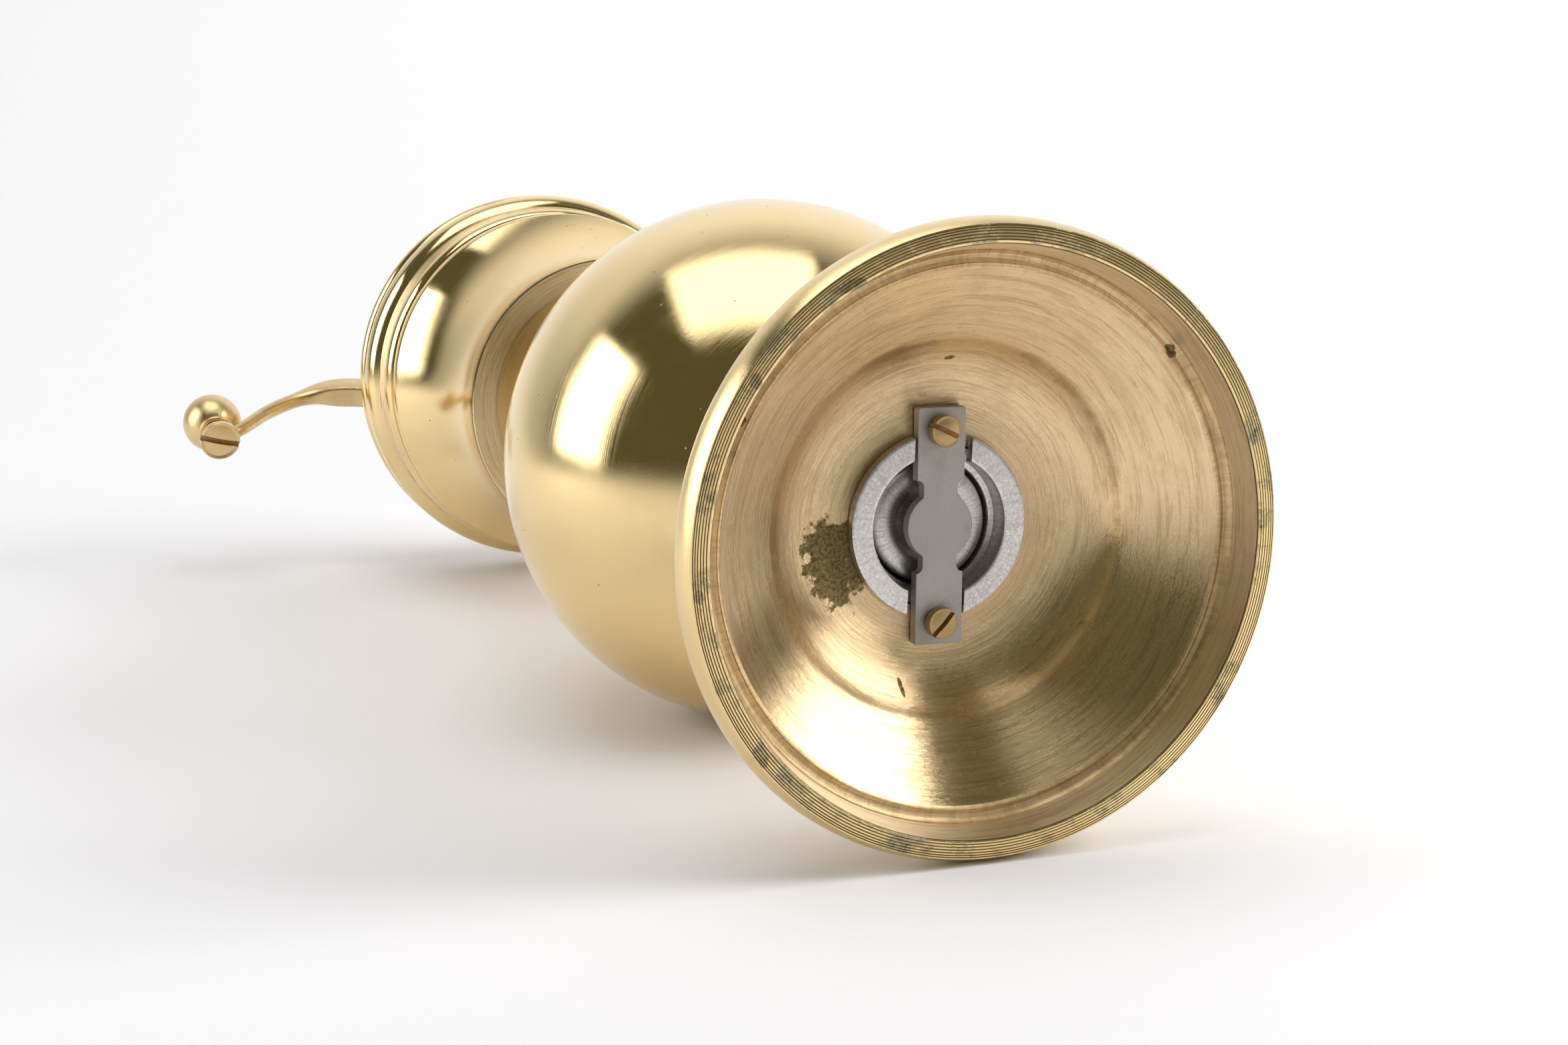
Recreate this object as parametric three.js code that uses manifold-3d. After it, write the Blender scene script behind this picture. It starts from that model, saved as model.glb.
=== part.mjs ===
// A brass pepper mill: turned foot, hollow globe with its neck, bell-shaped head, lid and swan-neck crank.
// The foot holds a steel grinding ring. A grooved burr turns inside it on a square spindle, which runs up
// through the globe to the crank. A steel strap under the foot keeps burr and spindle from dropping out.
//
// Millimetres, +Z up the mill. The mill stands on the flat rim of its foot at z = 0.
// Every section below is written about the mill's own axis. The whole mill is then moved along X,
// so that its bounding box, crank included, is centred on the origin.
import * as THREE from "three";
import { mergeVertices } from "three/addons/utils/BufferGeometryUtils.js";
import Module from "manifold-3d";

const wasm = await Module();
wasm.setup();

// ---- Driving dimensions -------------------------------------------------------------------------

const SIDES = 32; // sides of a full turn on the large turned pieces
const SMALL_SIDES = 20; // and on the small ones
const FIT = 0.25; // gap between two pieces that fit together
const RUN = 0.35; // gap between two pieces that turn past each other

// Foot
const FOOT_RADIUS = 44;
const RIM_OUTER = 43; // the flat rim that the mill stands on
const RIM_INNER = 40.4;
const ROLL_MID_Z = 3.4; // height of the widest part of the foot's rolled edge
const ROLL_TOP_Z = 6.4;
const LEDGE_Z = 5.4; // the ledge inside the foot, where the turned cone begins
const LEDGE_RADIUS = 37.4;
const DISH_Z = 14.2; // the ridge between the cone and the dish round the burrs
const DISH_RADIUS = 26.9;
const SEAT_Z = 20; // flat face that the grinding ring and the strap sit on
const SEAT_FLAT_RADIUS = 16.2;
const BELL_FOOT_Z = 12.4; // the bell of the foot rises from here, above a bead
const WAIST_RADIUS = 17.5;
const WAIST_Z = 37;
const COLLAR_BEAD_RADIUS = 21.2;
const COLLAR_BEAD_Z = 39.8;
const COLLAR_RADIUS = 18.5;
const FOOT_TOP_Z = 47;
const SPIGOT_RADIUS = 14.5; // the tube on top of the foot that enters the globe
const SPIGOT_TOP_Z = 56;
const THROAT_RADIUS = 10; // way for the peppercorns down to the burrs
const BRIDGE_SEAT_RADIUS = 12.3; // counterbore that the upper bridge lies in
const BRIDGE_SEAT_Z = 51.2;

// Globe and neck
const GLOBE_RADIUS = 43.7;
const GLOBE_Z = 89.2;
const GLOBE_WALL = 2.8;
const NECK_RADIUS = 24.4;
const NECK_FILLET = 60; // the hollow curve between globe and neck
const NECK_BORE = 20.5;
const NECK_TOP_Z = 177.8;
const NECK_SPIGOT_RADIUS = 22;
const NECK_SPIGOT_TOP_Z = 184;

// Head
const HEAD_BASE_Z = 178;
const HEAD_BASE_RADIUS = 29.3;
const BELL_WAIST_RADIUS = 28.1; // narrowest part of the bell
const BELL_WAIST_Z = 188;
const BELL_SWEEP = 45; // radius of the bell's hollow curve
const BELL_TOP_Z = 214.5;
const HEAD_RADIUS = 40.35; // widest part of the rolled rim
const HEAD_ROLL_Z = 231.5;
const HEAD_TOP_Z = 236.2;
const MOUTH_RADIUS = 35.5;

// Lid
const BRIM_RADIUS = 40.2;
const BRIM_Z = 236.5;
const BRIM_TOP_Z = 240.2;
const SKIRT_RADIUS = 35.2;
const SKIRT_Z = 229;
const DOME_TOP_Z = 244.6;
const LID_WALL = 2.4;
const LID_HOLE = 6.2;

// Burrs
const RING_FLANGE_RADIUS = 13.35;
const RING_BODY_RADIUS = 11.6;
const RING_FACE_Z = 18.2;
const RING_TOP_Z = 32.4;
const RING_MOUTH_RADIUS = 10.35;
const RING_BORE_RADIUS = 9.2;
const RING_STEP_Z = 21.8;
const RING_SLOT_WIDTH = 8.8;
const RING_SLOT_TURN = 2.1; // degrees that the ring's slot lies off the strap
const BURR_RADIUS = 8.75;
const BURR_FACE_Z = 22.1;
const BURR_CONE_TOP_Z = 33.4;
const BURR_CONE_TOP_RADIUS = 5.2;
const BURR_HUB_TOP_Z = 38;
const BURR_HUB_RADIUS = 4.7;
const BURR_TEETH = 12;
const TOOTH_LEAN = 24; // degrees that each groove leans round the burr

// Strap and its screws
const STRAP_TURN = -81.5; // degrees from the crank to the strap, about +Z
const STRAP_LENGTH = 33.8;
const STRAP_WIDTH = 7.2;
const STRAP_THICK = 1.8;
const STRAP_FACE_Z = 18;
const STRAP_DISC_RADIUS = 4.95;
const STRAP_NECK_WIDTH = 5.2;
const STRAP_NECK_AT = 5.6; // distance of each neck from the middle
const SCREW_AT = 13.65; // distance of each screw from the mill's axis
const SCREW_HEAD_RADIUS = 2.25;
const SCREW_HEAD_HEIGHT = 1.6;
const SCREW_SHANK_RADIUS = 1.2;
const SCREW_DEPTH = 6.2; // length of the shank that is in the foot
const SCREW_SLOT_WIDTH = 0.7;
const SCREW_SLOT_TURNS = [34, -39]; // degrees from the crank to each screw's slot

// Spindle and what sits on it
const SPINDLE_SIDE = 5;
const PIVOT_RADIUS = 2;
const PIVOT_TIP_Z = 20.1;
const SPINDLE_SQUARE_TOP_Z = 252.3;
const THREAD_RADIUS = 2.4;
const SPINDLE_TOP_Z = 260;
const PIN_RADIUS = 0.75;
const PIN_Z = 35.8;
const SPRING_RADIUS = 5; // to the middle of the wire
const SPRING_WIRE = 0.45; // the wire's radius
const SPRING_TURNS = 5;
const SPRING_FOOT_Z = 39.6;
const SPRING_HEAD_Z = 50.2;

// Crank. The arm leans out of true about its own length.
const HUB_Z = 250; // height of the arm's middle line at the hub
const HUB_RADIUS = 7.6;
const HUB_BOTTOM_Z = 247.1;
const HUB_TOP_Z = 253.6;
const ARM_LEAN = 16; // degrees, towards +Y
const CRANK_REACH = 71.8; // from the mill's axis to the knob's
const EYE_RADIUS = 3.5;
const EYE_BOTTOM = -7.4; // heights at the knob are along its own axis, from the hub's middle line
const EYE_TOP = -5.2;
const KNOB_RADIUS = 6.35;
const KNOB_MIDDLE = 1.3;
const KNOB_COLLAR_RADIUS = 3.9;
const KNOB_SCREW_RADIUS = 4.3;
const KNOB_SLOT_WIDTH = 1.2;

const BRASS = { color: 0xd9bd80, roughness: 0.18, metalness: 1 };
const TURNED_BRASS = { color: 0xc6a56c, roughness: 0.38, metalness: 1 };
const STEEL = { color: 0x96918f, roughness: 0.4, metalness: 1 };
const STRAP_STEEL = { color: 0x8b8786, roughness: 0.55, metalness: 1 };
const SCREW_BRASS = { color: 0x9a7a3c, roughness: 0.4, metalness: 1 };

const radians = THREE.MathUtils.degToRad;
const at = (r, z) => new THREE.Vector2(r, z);

// ---- Tools --------------------------------------------------------------------------------------

// Points of an arc about (r, z), from one angle to another in degrees. 0 is outwards, 90 is up.
// With tall, it is part of an oval: radius across and tall upwards.
function arc(r, z, radius, from, to, steps, tall = radius) {
  const points = [];
  for (let i = 0; i <= steps; i += 1) {
    const angle = radians(from + ((to - from) * i) / steps);
    points.push(at(r + radius * Math.cos(angle), z + tall * Math.sin(angle)));
  }
  return points;
}

// Turns a section about +Z. It runs outwards and up, and either ends on the axis or is closed here.
function turned(points, sides = SIDES) {
  const section = points.map((p) => p.clone());
  if (section[0].x > 0) section.push(section[0].clone());
  const geometry = new THREE.LatheGeometry(section, sides);
  geometry.rotateX(Math.PI / 2);
  return geometry;
}

// A flat shape made solid from one height to another.
function plate(shape, bottom, top, curveSegments = 8) {
  const geometry = new THREE.ExtrudeGeometry(shape, {
    depth: top - bottom,
    bevelEnabled: false,
    curveSegments,
  });
  geometry.translate(0, 0, bottom);
  return geometry;
}

function bar(width, depth, bottom, top) {
  const geometry = new THREE.BoxGeometry(width, depth, top - bottom);
  geometry.translate(0, 0, (bottom + top) / 2);
  return geometry;
}

function rod(radius, bottom, top, sides = SMALL_SIDES) {
  return turned([at(0, bottom), at(radius, bottom), at(radius, top), at(0, top)], sides);
}

function solid(geometry) {
  const bare = geometry.clone();
  bare.deleteAttribute("normal");
  bare.deleteAttribute("uv");
  const merged = mergeVertices(bare, 1e-4);
  return new wasm.Manifold(
    new wasm.Mesh({
      numProp: 3,
      vertProperties: new Float32Array(merged.attributes.position.array),
      triVerts: new Uint32Array(merged.index.array),
    }),
  );
}

function geometryOf(manifold) {
  const mesh = manifold.getMesh();
  const geometry = new THREE.BufferGeometry();
  geometry.setAttribute("position", new THREE.BufferAttribute(new Float32Array(mesh.vertProperties), 3));
  geometry.setIndex(new THREE.BufferAttribute(new Uint32Array(mesh.triVerts), 1));
  geometry.computeVertexNormals();
  return geometry;
}

// A body with each of the cutters taken away.
function cut(body, ...cutters) {
  return geometryOf(cutters.reduce((left, cutter) => left.subtract(solid(cutter)), solid(body)));
}

function piece(name, geometry, finish) {
  const mesh = new THREE.Mesh(geometry, new THREE.MeshStandardMaterial(finish));
  mesh.name = name;
  return mesh;
}

// ---- Foot ---------------------------------------------------------------------------------------

function footSection() {
  const rollRadius = ROLL_TOP_Z - ROLL_MID_Z;
  // The dish curves down from the flat seat, and ends at its ridge.
  const dishReach = DISH_RADIUS - SEAT_FLAT_RADIUS;
  const dishDrop = SEAT_Z - DISH_Z;
  const dishCurve = (dishReach ** 2 + dishDrop ** 2) / (2 * dishDrop);
  const dishTurn = THREE.MathUtils.radToDeg(Math.asin(dishReach / dishCurve));
  return [
    at(RIM_INNER, 0),
    at(RIM_OUTER, 0),
    at(RIM_OUTER + 0.75, 1.3),
    ...arc(FOOT_RADIUS - rollRadius, ROLL_MID_Z, rollRadius, 0, 75, 3),
    at(39.6, 6.9),
    ...arc(38.9, 9.3, 1.9, -70, 70, 3),
    // the bell sweeps in to the waist
    ...arc(RIM_INNER, WAIST_Z, RIM_INNER - WAIST_RADIUS, 267, 180, 7, WAIST_Z - BELL_FOOT_Z),
    // a bead, then the collar that the globe sits on
    ...arc(COLLAR_BEAD_RADIUS - 2.3, COLLAR_BEAD_Z, 2.3, -90, 90, 4),
    at(COLLAR_RADIUS, 42.6),
    at(COLLAR_RADIUS, FOOT_TOP_Z),
    at(SPIGOT_RADIUS, FOOT_TOP_Z),
    at(SPIGOT_RADIUS, SPIGOT_TOP_Z),
    at(BRIDGE_SEAT_RADIUS, SPIGOT_TOP_Z),
    at(BRIDGE_SEAT_RADIUS, BRIDGE_SEAT_Z),
    at(THROAT_RADIUS, BRIDGE_SEAT_Z),
    at(THROAT_RADIUS, RING_TOP_Z + 0.6),
    at(RING_BODY_RADIUS + FIT, RING_TOP_Z + 0.6),
    at(RING_BODY_RADIUS + FIT, SEAT_Z),
    ...arc(SEAT_FLAT_RADIUS, SEAT_Z - dishCurve, dishCurve, 90, 90 - dishTurn, 5),
    at(LEDGE_RADIUS, LEDGE_Z),
    at(LEDGE_RADIUS + 0.7, LEDGE_Z - 0.5),
    at(LEDGE_RADIUS + 1.2, LEDGE_Z + 0.1),
    at(LEDGE_RADIUS + 2.2, LEDGE_Z - 0.3),
  ];
}

// Where the two strap screws go, about the mill's axis.
function screwPlaces() {
  return [180, 0].map((turn) => {
    const angle = radians(STRAP_TURN + turn);
    return at(SCREW_AT * Math.cos(angle), SCREW_AT * Math.sin(angle));
  });
}

function footBase() {
  const holes = screwPlaces().map((place) => {
    const hole = rod(SCREW_SHANK_RADIUS + FIT, SEAT_Z - 1, SEAT_Z + SCREW_DEPTH + 0.6, 12);
    hole.translate(place.x, place.y, 0);
    return hole;
  });
  return piece("foot_base", cut(turned(footSection()), ...holes), BRASS);
}

// ---- Globe, neck and head -----------------------------------------------------------------------

function globeBody() {
  // The fillet is tangent to the globe and to the neck.
  const filletRadius = NECK_RADIUS + NECK_FILLET;
  const rise = Math.sqrt((GLOBE_RADIUS + NECK_FILLET) ** 2 - filletRadius ** 2);
  const tangent = THREE.MathUtils.radToDeg(Math.atan2(rise, filletRadius));
  const collarAngle = THREE.MathUtils.radToDeg(Math.acos(COLLAR_RADIUS / GLOBE_RADIUS));
  const inside = GLOBE_RADIUS - GLOBE_WALL;
  const hole = SPIGOT_RADIUS + FIT;
  const holeAngle = THREE.MathUtils.radToDeg(Math.acos(hole / inside));
  const boreAngle = THREE.MathUtils.radToDeg(Math.acos(NECK_BORE / inside));
  return piece(
    "globe_body",
    turned([
      at(hole, FOOT_TOP_Z + FIT),
      at(COLLAR_RADIUS, FOOT_TOP_Z + FIT),
      ...arc(0, GLOBE_Z, GLOBE_RADIUS, -collarAngle, tangent, 12),
      ...arc(filletRadius, GLOBE_Z + rise, NECK_FILLET, 180 + tangent, 180, 4).slice(1),
      at(NECK_RADIUS, NECK_TOP_Z),
      at(NECK_SPIGOT_RADIUS, NECK_TOP_Z),
      at(NECK_SPIGOT_RADIUS, NECK_SPIGOT_TOP_Z),
      at(NECK_BORE, NECK_SPIGOT_TOP_Z),
      ...arc(0, GLOBE_Z, inside, boreAngle, -holeAngle, 9),
    ]),
    BRASS,
  );
}

function headCup() {
  const sweepRadius = BELL_WAIST_RADIUS + BELL_SWEEP;
  const bellAngle = (z) => 180 - THREE.MathUtils.radToDeg(Math.asin((z - BELL_WAIST_Z) / BELL_SWEEP));
  const bellRadius = sweepRadius - Math.sqrt(BELL_SWEEP ** 2 - (BELL_TOP_Z - BELL_WAIST_Z) ** 2);
  return piece(
    "head_cup",
    turned([
      at(NECK_SPIGOT_RADIUS + FIT, HEAD_BASE_Z),
      at(HEAD_BASE_RADIUS - 0.4, HEAD_BASE_Z),
      ...arc(sweepRadius, BELL_WAIST_Z, BELL_SWEEP, bellAngle(HEAD_BASE_Z + 0.4), bellAngle(BELL_TOP_Z), 6),
      // two small beads, a groove, and the rolled rim
      ...arc(bellRadius - 1.6, 217.6, 2.5, -40, 48, 2),
      ...arc(36.2, 222.9, 2.3, -52, 60, 3),
      at(38, 226),
      ...arc(HEAD_RADIUS - 4.4, HEAD_ROLL_Z, 4.4, -58, 58, 4),
      at(37.4, HEAD_TOP_Z),
      at(MOUTH_RADIUS, HEAD_TOP_Z),
      at(MOUTH_RADIUS, 226),
      at(32.4, 214),
      at(26.5, 200),
      at(24.8, 188),
      at(24.8, NECK_SPIGOT_TOP_Z),
      at(NECK_SPIGOT_RADIUS + FIT, NECK_SPIGOT_TOP_Z),
    ]),
    BRASS,
  );
}

// ---- Lid ----------------------------------------------------------------------------------------

function lidCover() {
  return piece(
    "lid_cover",
    turned([
      at(SKIRT_RADIUS - 2, SKIRT_Z),
      at(SKIRT_RADIUS, SKIRT_Z),
      at(SKIRT_RADIUS, BRIM_Z),
      at(BRIM_RADIUS - 0.6, BRIM_Z),
      ...arc(BRIM_RADIUS - 1.8, (BRIM_Z + BRIM_TOP_Z) / 2, 1.8, -60, 80, 3),
      at(37, BRIM_TOP_Z),
      at(30, 241.8),
      at(22, 243.4),
      at(13, DOME_TOP_Z),
      at(LID_HOLE, DOME_TOP_Z),
      at(LID_HOLE, DOME_TOP_Z - LID_WALL),
      at(13, DOME_TOP_Z - LID_WALL),
      at(22, 243.4 - LID_WALL),
      at(SKIRT_RADIUS - 2, 238.4),
    ]),
    BRASS,
  );
}

function lidBush() {
  const bore = SPINDLE_SIDE * Math.SQRT1_2 + RUN;
  return piece(
    "lid_bush",
    turned(
      [
        at(bore, 236.6),
        at(LID_HOLE - FIT, 236.6),
        at(LID_HOLE - FIT, DOME_TOP_Z + FIT),
        at(9, DOME_TOP_Z + FIT),
        at(8.6, DOME_TOP_Z + 1.3),
        at(bore, DOME_TOP_Z + 1.3),
      ],
      SMALL_SIDES,
    ),
    BRASS,
  );
}

// The ring nut that clamps the bush from inside the lid.
function bushNut() {
  const flats = new THREE.Shape();
  for (let i = 0; i < 6; i += 1) {
    const angle = radians(60 * i);
    const corner = at(10.4 * Math.cos(angle), 10.4 * Math.sin(angle));
    if (i === 0) flats.moveTo(corner.x, corner.y);
    else flats.lineTo(corner.x, corner.y);
  }
  flats.closePath();
  const top = DOME_TOP_Z - LID_WALL - FIT;
  const body = plate(flats, top - 3, top);
  return piece("bush_nut", cut(body, rod(LID_HOLE, top - 4, top + 1)), SCREW_BRASS);
}

// ---- Burrs --------------------------------------------------------------------------------------

function statorRing() {
  const section = [
    at(RING_MOUTH_RADIUS - 0.3, RING_FACE_Z + 0.4),
    at(RING_MOUTH_RADIUS, RING_FACE_Z),
    at(RING_FLANGE_RADIUS - 0.2, RING_FACE_Z),
    at(RING_FLANGE_RADIUS, RING_FACE_Z + 0.2),
    at(RING_FLANGE_RADIUS, SEAT_Z - FIT),
    at(RING_BODY_RADIUS, SEAT_Z - FIT),
    at(RING_BODY_RADIUS, RING_TOP_Z),
    at(RING_BORE_RADIUS + 0.9, RING_TOP_Z),
    at(RING_BORE_RADIUS, RING_TOP_Z - 2),
    at(RING_BORE_RADIUS, RING_STEP_Z + 0.2),
    at(RING_MOUTH_RADIUS - 0.3, RING_STEP_Z),
  ];
  const slotTop = STRAP_FACE_Z + STRAP_THICK + FIT;
  const slot = bar(3 * RING_FLANGE_RADIUS, RING_SLOT_WIDTH, RING_FACE_Z - 1, slotTop);
  slot.rotateZ(radians(STRAP_TURN + RING_SLOT_TURN));
  return piece("stator_ring", cut(turned(section), slot), STEEL);
}

function squareHole(bottom, top, gap = FIT) {
  return bar(SPINDLE_SIDE + 2 * gap, SPINDLE_SIDE + 2 * gap, bottom, top);
}

function crossHole(radius, length) {
  const hole = rod(radius, -length / 2, length / 2, 12);
  hole.rotateX(Math.PI / 2);
  hole.translate(0, 0, PIN_Z);
  return hole;
}

function rotorBurr() {
  const section = [
    at(0, BURR_FACE_Z + 1.2),
    at(4.4, BURR_FACE_Z + 1.2),
    at(5.4, BURR_FACE_Z - 0.2),
    at(7.4, BURR_FACE_Z - 0.4),
    at(8.5, BURR_FACE_Z),
    at(BURR_RADIUS, BURR_FACE_Z + 0.6),
    at(BURR_RADIUS, BURR_FACE_Z + 4.5),
    at(BURR_CONE_TOP_RADIUS, BURR_CONE_TOP_Z),
    at(BURR_HUB_RADIUS, BURR_CONE_TOP_Z),
    at(BURR_HUB_RADIUS, BURR_HUB_TOP_Z),
    at(0, BURR_HUB_TOP_Z),
  ];
  const grooves = [];
  for (let i = 0; i < BURR_TEETH; i += 1) {
    const groove = new THREE.BoxGeometry(1.1, 1.4, 16);
    groove.rotateX(radians(TOOTH_LEAN));
    groove.translate(BURR_RADIUS + 0.1, 0, (BURR_FACE_Z + BURR_CONE_TOP_Z) / 2 + 1);
    groove.rotateY(radians(-8));
    groove.rotateZ(radians((360 * i) / BURR_TEETH));
    grooves.push(groove);
  }
  const bore = squareHole(BURR_FACE_Z - 1, BURR_HUB_TOP_Z + 1);
  return piece("rotor_burr", cut(turned(section), bore, crossHole(PIN_RADIUS + FIT, 12), ...grooves), STEEL);
}

function rotorPin() {
  const pin = rod(PIN_RADIUS, -4.4, 4.4, 12);
  pin.rotateX(Math.PI / 2);
  pin.translate(0, 0, PIN_Z);
  return piece("rotor_pin", pin, STEEL);
}

// ---- Strap and screws ---------------------------------------------------------------------------

function strapShape() {
  const halfLength = STRAP_LENGTH / 2;
  const halfWidth = STRAP_WIDTH / 2;
  const halfNeck = STRAP_NECK_WIDTH / 2;
  const notch = halfWidth - halfNeck;
  const disc = Math.acos(halfNeck / STRAP_DISC_RADIUS);
  const shape = new THREE.Shape();
  // The strap lies along X here. Each end is drawn the same way, one half turn apart.
  for (const [side, start] of [[1, 0], [-1, Math.PI]]) {
    const x = (value) => side * value;
    const y = (value) => side * value;
    if (start === 0) shape.moveTo(x(STRAP_NECK_AT), y(-halfNeck));
    else shape.lineTo(x(STRAP_NECK_AT), y(-halfNeck));
    shape.quadraticCurveTo(x(STRAP_NECK_AT + notch), y(-halfNeck), x(STRAP_NECK_AT + notch), y(-halfWidth));
    shape.lineTo(x(halfLength), y(-halfWidth));
    shape.lineTo(x(halfLength), y(halfWidth));
    shape.lineTo(x(STRAP_NECK_AT + notch), y(halfWidth));
    shape.quadraticCurveTo(x(STRAP_NECK_AT + notch), y(halfNeck), x(STRAP_NECK_AT), y(halfNeck));
    shape.absarc(0, 0, STRAP_DISC_RADIUS, start + Math.PI / 2 - disc, start + Math.PI / 2 + disc, false);
  }
  shape.closePath();
  for (const side of [1, -1]) {
    const hole = new THREE.Path();
    hole.absarc(side * SCREW_AT, 0, SCREW_SHANK_RADIUS + FIT, 0, 2 * Math.PI, true);
    shape.holes.push(hole);
  }
  return shape;
}

function bridgeStrap() {
  const geometry = plate(strapShape(), STRAP_FACE_Z, STRAP_FACE_Z + STRAP_THICK, 6);
  geometry.rotateZ(radians(STRAP_TURN));
  return piece("bridge_strap", geometry, STRAP_STEEL);
}

// A cheese-headed screw, its head hanging below z = 0 with a slot in its face.
function slottedScrew(headRadius, headHeight, shankRadius, shankLength, slotWidth, slotTurn) {
  const section = [
    at(0, -headHeight),
    at(headRadius - 0.2, -headHeight),
    at(headRadius, -headHeight + 0.2),
    at(headRadius, 0),
    at(shankRadius, 0),
    at(shankRadius, shankLength),
    at(0, shankLength),
  ];
  const slot = bar(3 * headRadius, slotWidth, -headHeight - 1, -0.5 * headHeight);
  slot.rotateZ(radians(slotTurn));
  return cut(turned(section, SMALL_SIDES), slot);
}

function bridgeScrews() {
  const length = SEAT_Z + SCREW_DEPTH - STRAP_FACE_Z;
  return screwPlaces().map((place, i) => {
    const geometry = slottedScrew(
      SCREW_HEAD_RADIUS,
      SCREW_HEAD_HEIGHT,
      SCREW_SHANK_RADIUS,
      length,
      SCREW_SLOT_WIDTH,
      SCREW_SLOT_TURNS[i],
    );
    const screw = piece("bridge_screw_" + (i + 1), geometry, SCREW_BRASS);
    screw.position.set(place.x, place.y, STRAP_FACE_Z - FIT);
    return screw;
  });
}

// ---- Spindle, spring and upper bridge -----------------------------------------------------------

function spindle() {
  const square = solid(bar(SPINDLE_SIDE, SPINDLE_SIDE, BURR_FACE_Z + 1.2, SPINDLE_SQUARE_TOP_Z));
  const tip = solid(rod(PIVOT_RADIUS, PIVOT_TIP_Z, BURR_FACE_Z + 2));
  const thread = solid(rod(THREAD_RADIUS, SPINDLE_SQUARE_TOP_Z - 1, SPINDLE_TOP_Z));
  const body = square.add(tip).add(thread);
  const bored = body.subtract(solid(crossHole(PIN_RADIUS + FIT, 12)));
  return piece("spindle", geometryOf(bored), STEEL);
}

function washer(name, inner, outer, bottom, top, finish) {
  const section = [at(inner, bottom), at(outer, bottom), at(outer, top), at(inner, top)];
  return piece(name, turned(section, SMALL_SIDES), finish);
}

function rotorSpring() {
  class Helix extends THREE.Curve {
    getPoint(t, target = new THREE.Vector3()) {
      const angle = 2 * Math.PI * SPRING_TURNS * t;
      const height = SPRING_FOOT_Z + (SPRING_HEAD_Z - SPRING_FOOT_Z) * t;
      return target.set(SPRING_RADIUS * Math.cos(angle), SPRING_RADIUS * Math.sin(angle), height);
    }
  }
  const wire = new THREE.Shape();
  wire.absarc(0, 0, SPRING_WIRE, 0, 2 * Math.PI, false);
  const geometry = new THREE.ExtrudeGeometry(wire, {
    steps: 10 * SPRING_TURNS,
    curveSegments: 3,
    extrudePath: new Helix(),
  });
  return piece("rotor_spring", geometry, STEEL);
}

// A bar across the throat that guides the spindle and holds the spring down.
function upperBridge() {
  const round = rod(BRIDGE_SEAT_RADIUS - FIT, BRIDGE_SEAT_Z + FIT, BRIDGE_SEAT_Z + 2.4);
  const sides = [1, -1].map((side) => {
    const slab = bar(40, 20, BRIDGE_SEAT_Z - 1, BRIDGE_SEAT_Z + 4);
    slab.translate(0, side * 14.5, 0);
    return slab;
  });
  const hole = rod(SPINDLE_SIDE * Math.SQRT1_2 + RUN, BRIDGE_SEAT_Z - 1, BRIDGE_SEAT_Z + 4);
  return piece("upper_bridge", cut(round, ...sides, hole), STRAP_STEEL);
}

// The open spring ring that holds the upper bridge down in its seat.
function bridgeCirclip() {
  const bottom = BRIDGE_SEAT_Z + 2.6;
  const body = turned([
    at(10.6, bottom),
    at(BRIDGE_SEAT_RADIUS - FIT, bottom),
    at(BRIDGE_SEAT_RADIUS - FIT, bottom + 0.9),
    at(10.6, bottom + 0.9),
  ]);
  const opening = bar(8, 5, bottom - 1, bottom + 2);
  opening.translate(BRIDGE_SEAT_RADIUS, 0, 0);
  return piece("bridge_circlip", cut(body, opening), STEEL);
}

// ---- Crank --------------------------------------------------------------------------------------

// The arm's middle line, as distance from the mill's axis and height above the hub's middle line.
const armLine = new THREE.CatmullRomCurve3(
  [
    [0, 0],
    [12, 0],
    [24, 0.1],
    [34, 1.2],
    [40.5, 4.6],
    [46.2, 6.6],
    [52.8, 5.2],
    [59.8, 1.3],
    [63.2, -1.8],
    [66, -4.4],
    [68.3, -5.9],
    [CRANK_REACH - 1.2, (EYE_TOP + EYE_BOTTOM) / 2],
  ].map(([reach, height]) => new THREE.Vector3(reach, 0, height)),
  false,
  "centripetal",
);

// Half the arm's width and height at a distance from the hub, and how square it is: a bar at the hub,
// deepest at the hump, and a thin round rod from there to the knob.
function armHalfSizes(reach) {
  const towards = (from, to) => THREE.MathUtils.smoothstep(reach, from, to);
  const width = 2.2 - 0.65 * towards(30, 46);
  const hump = 2.5 + 0.55 * towards(26, 42) - 1.45 * towards(44, 54);
  const taper = 0.2 * towards(54, 70);
  return { width: width - taper, height: hump - taper, roundness: towards(44, 54) };
}

function armGeometry() {
  const rings = 22;
  const around = 12;
  const positions = [];
  const faces = [];
  for (let i = 0; i <= rings; i += 1) {
    const middle = armLine.getPointAt(i / rings);
    const along = armLine.getTangentAt(i / rings);
    const up = new THREE.Vector3(-along.z, 0, along.x);
    const size = armHalfSizes(middle.x);
    for (let k = 0; k < around; k += 1) {
      const angle = (2 * Math.PI * (k + 0.5)) / around;
      const power = 0.4 + 0.6 * size.roundness;
      const across = Math.sign(Math.cos(angle)) * Math.abs(Math.cos(angle)) ** power * size.width;
      const rise = Math.sign(Math.sin(angle)) * Math.abs(Math.sin(angle)) ** power * size.height;
      positions.push(middle.x + up.x * rise, across, middle.z + up.z * rise);
    }
  }
  for (let i = 0; i < rings; i += 1) {
    for (let k = 0; k < around; k += 1) {
      const a = i * around + k;
      const b = i * around + ((k + 1) % around);
      faces.push(a, b, a + around, b, b + around, a + around);
    }
  }
  const last = rings * around;
  for (let k = 1; k < around - 1; k += 1) {
    faces.push(0, k + 1, k);
    faces.push(last, last + k, last + k + 1);
  }
  const geometry = new THREE.BufferGeometry();
  geometry.setAttribute("position", new THREE.Float32BufferAttribute(positions, 3));
  geometry.setIndex(faces);
  return geometry;
}

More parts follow.
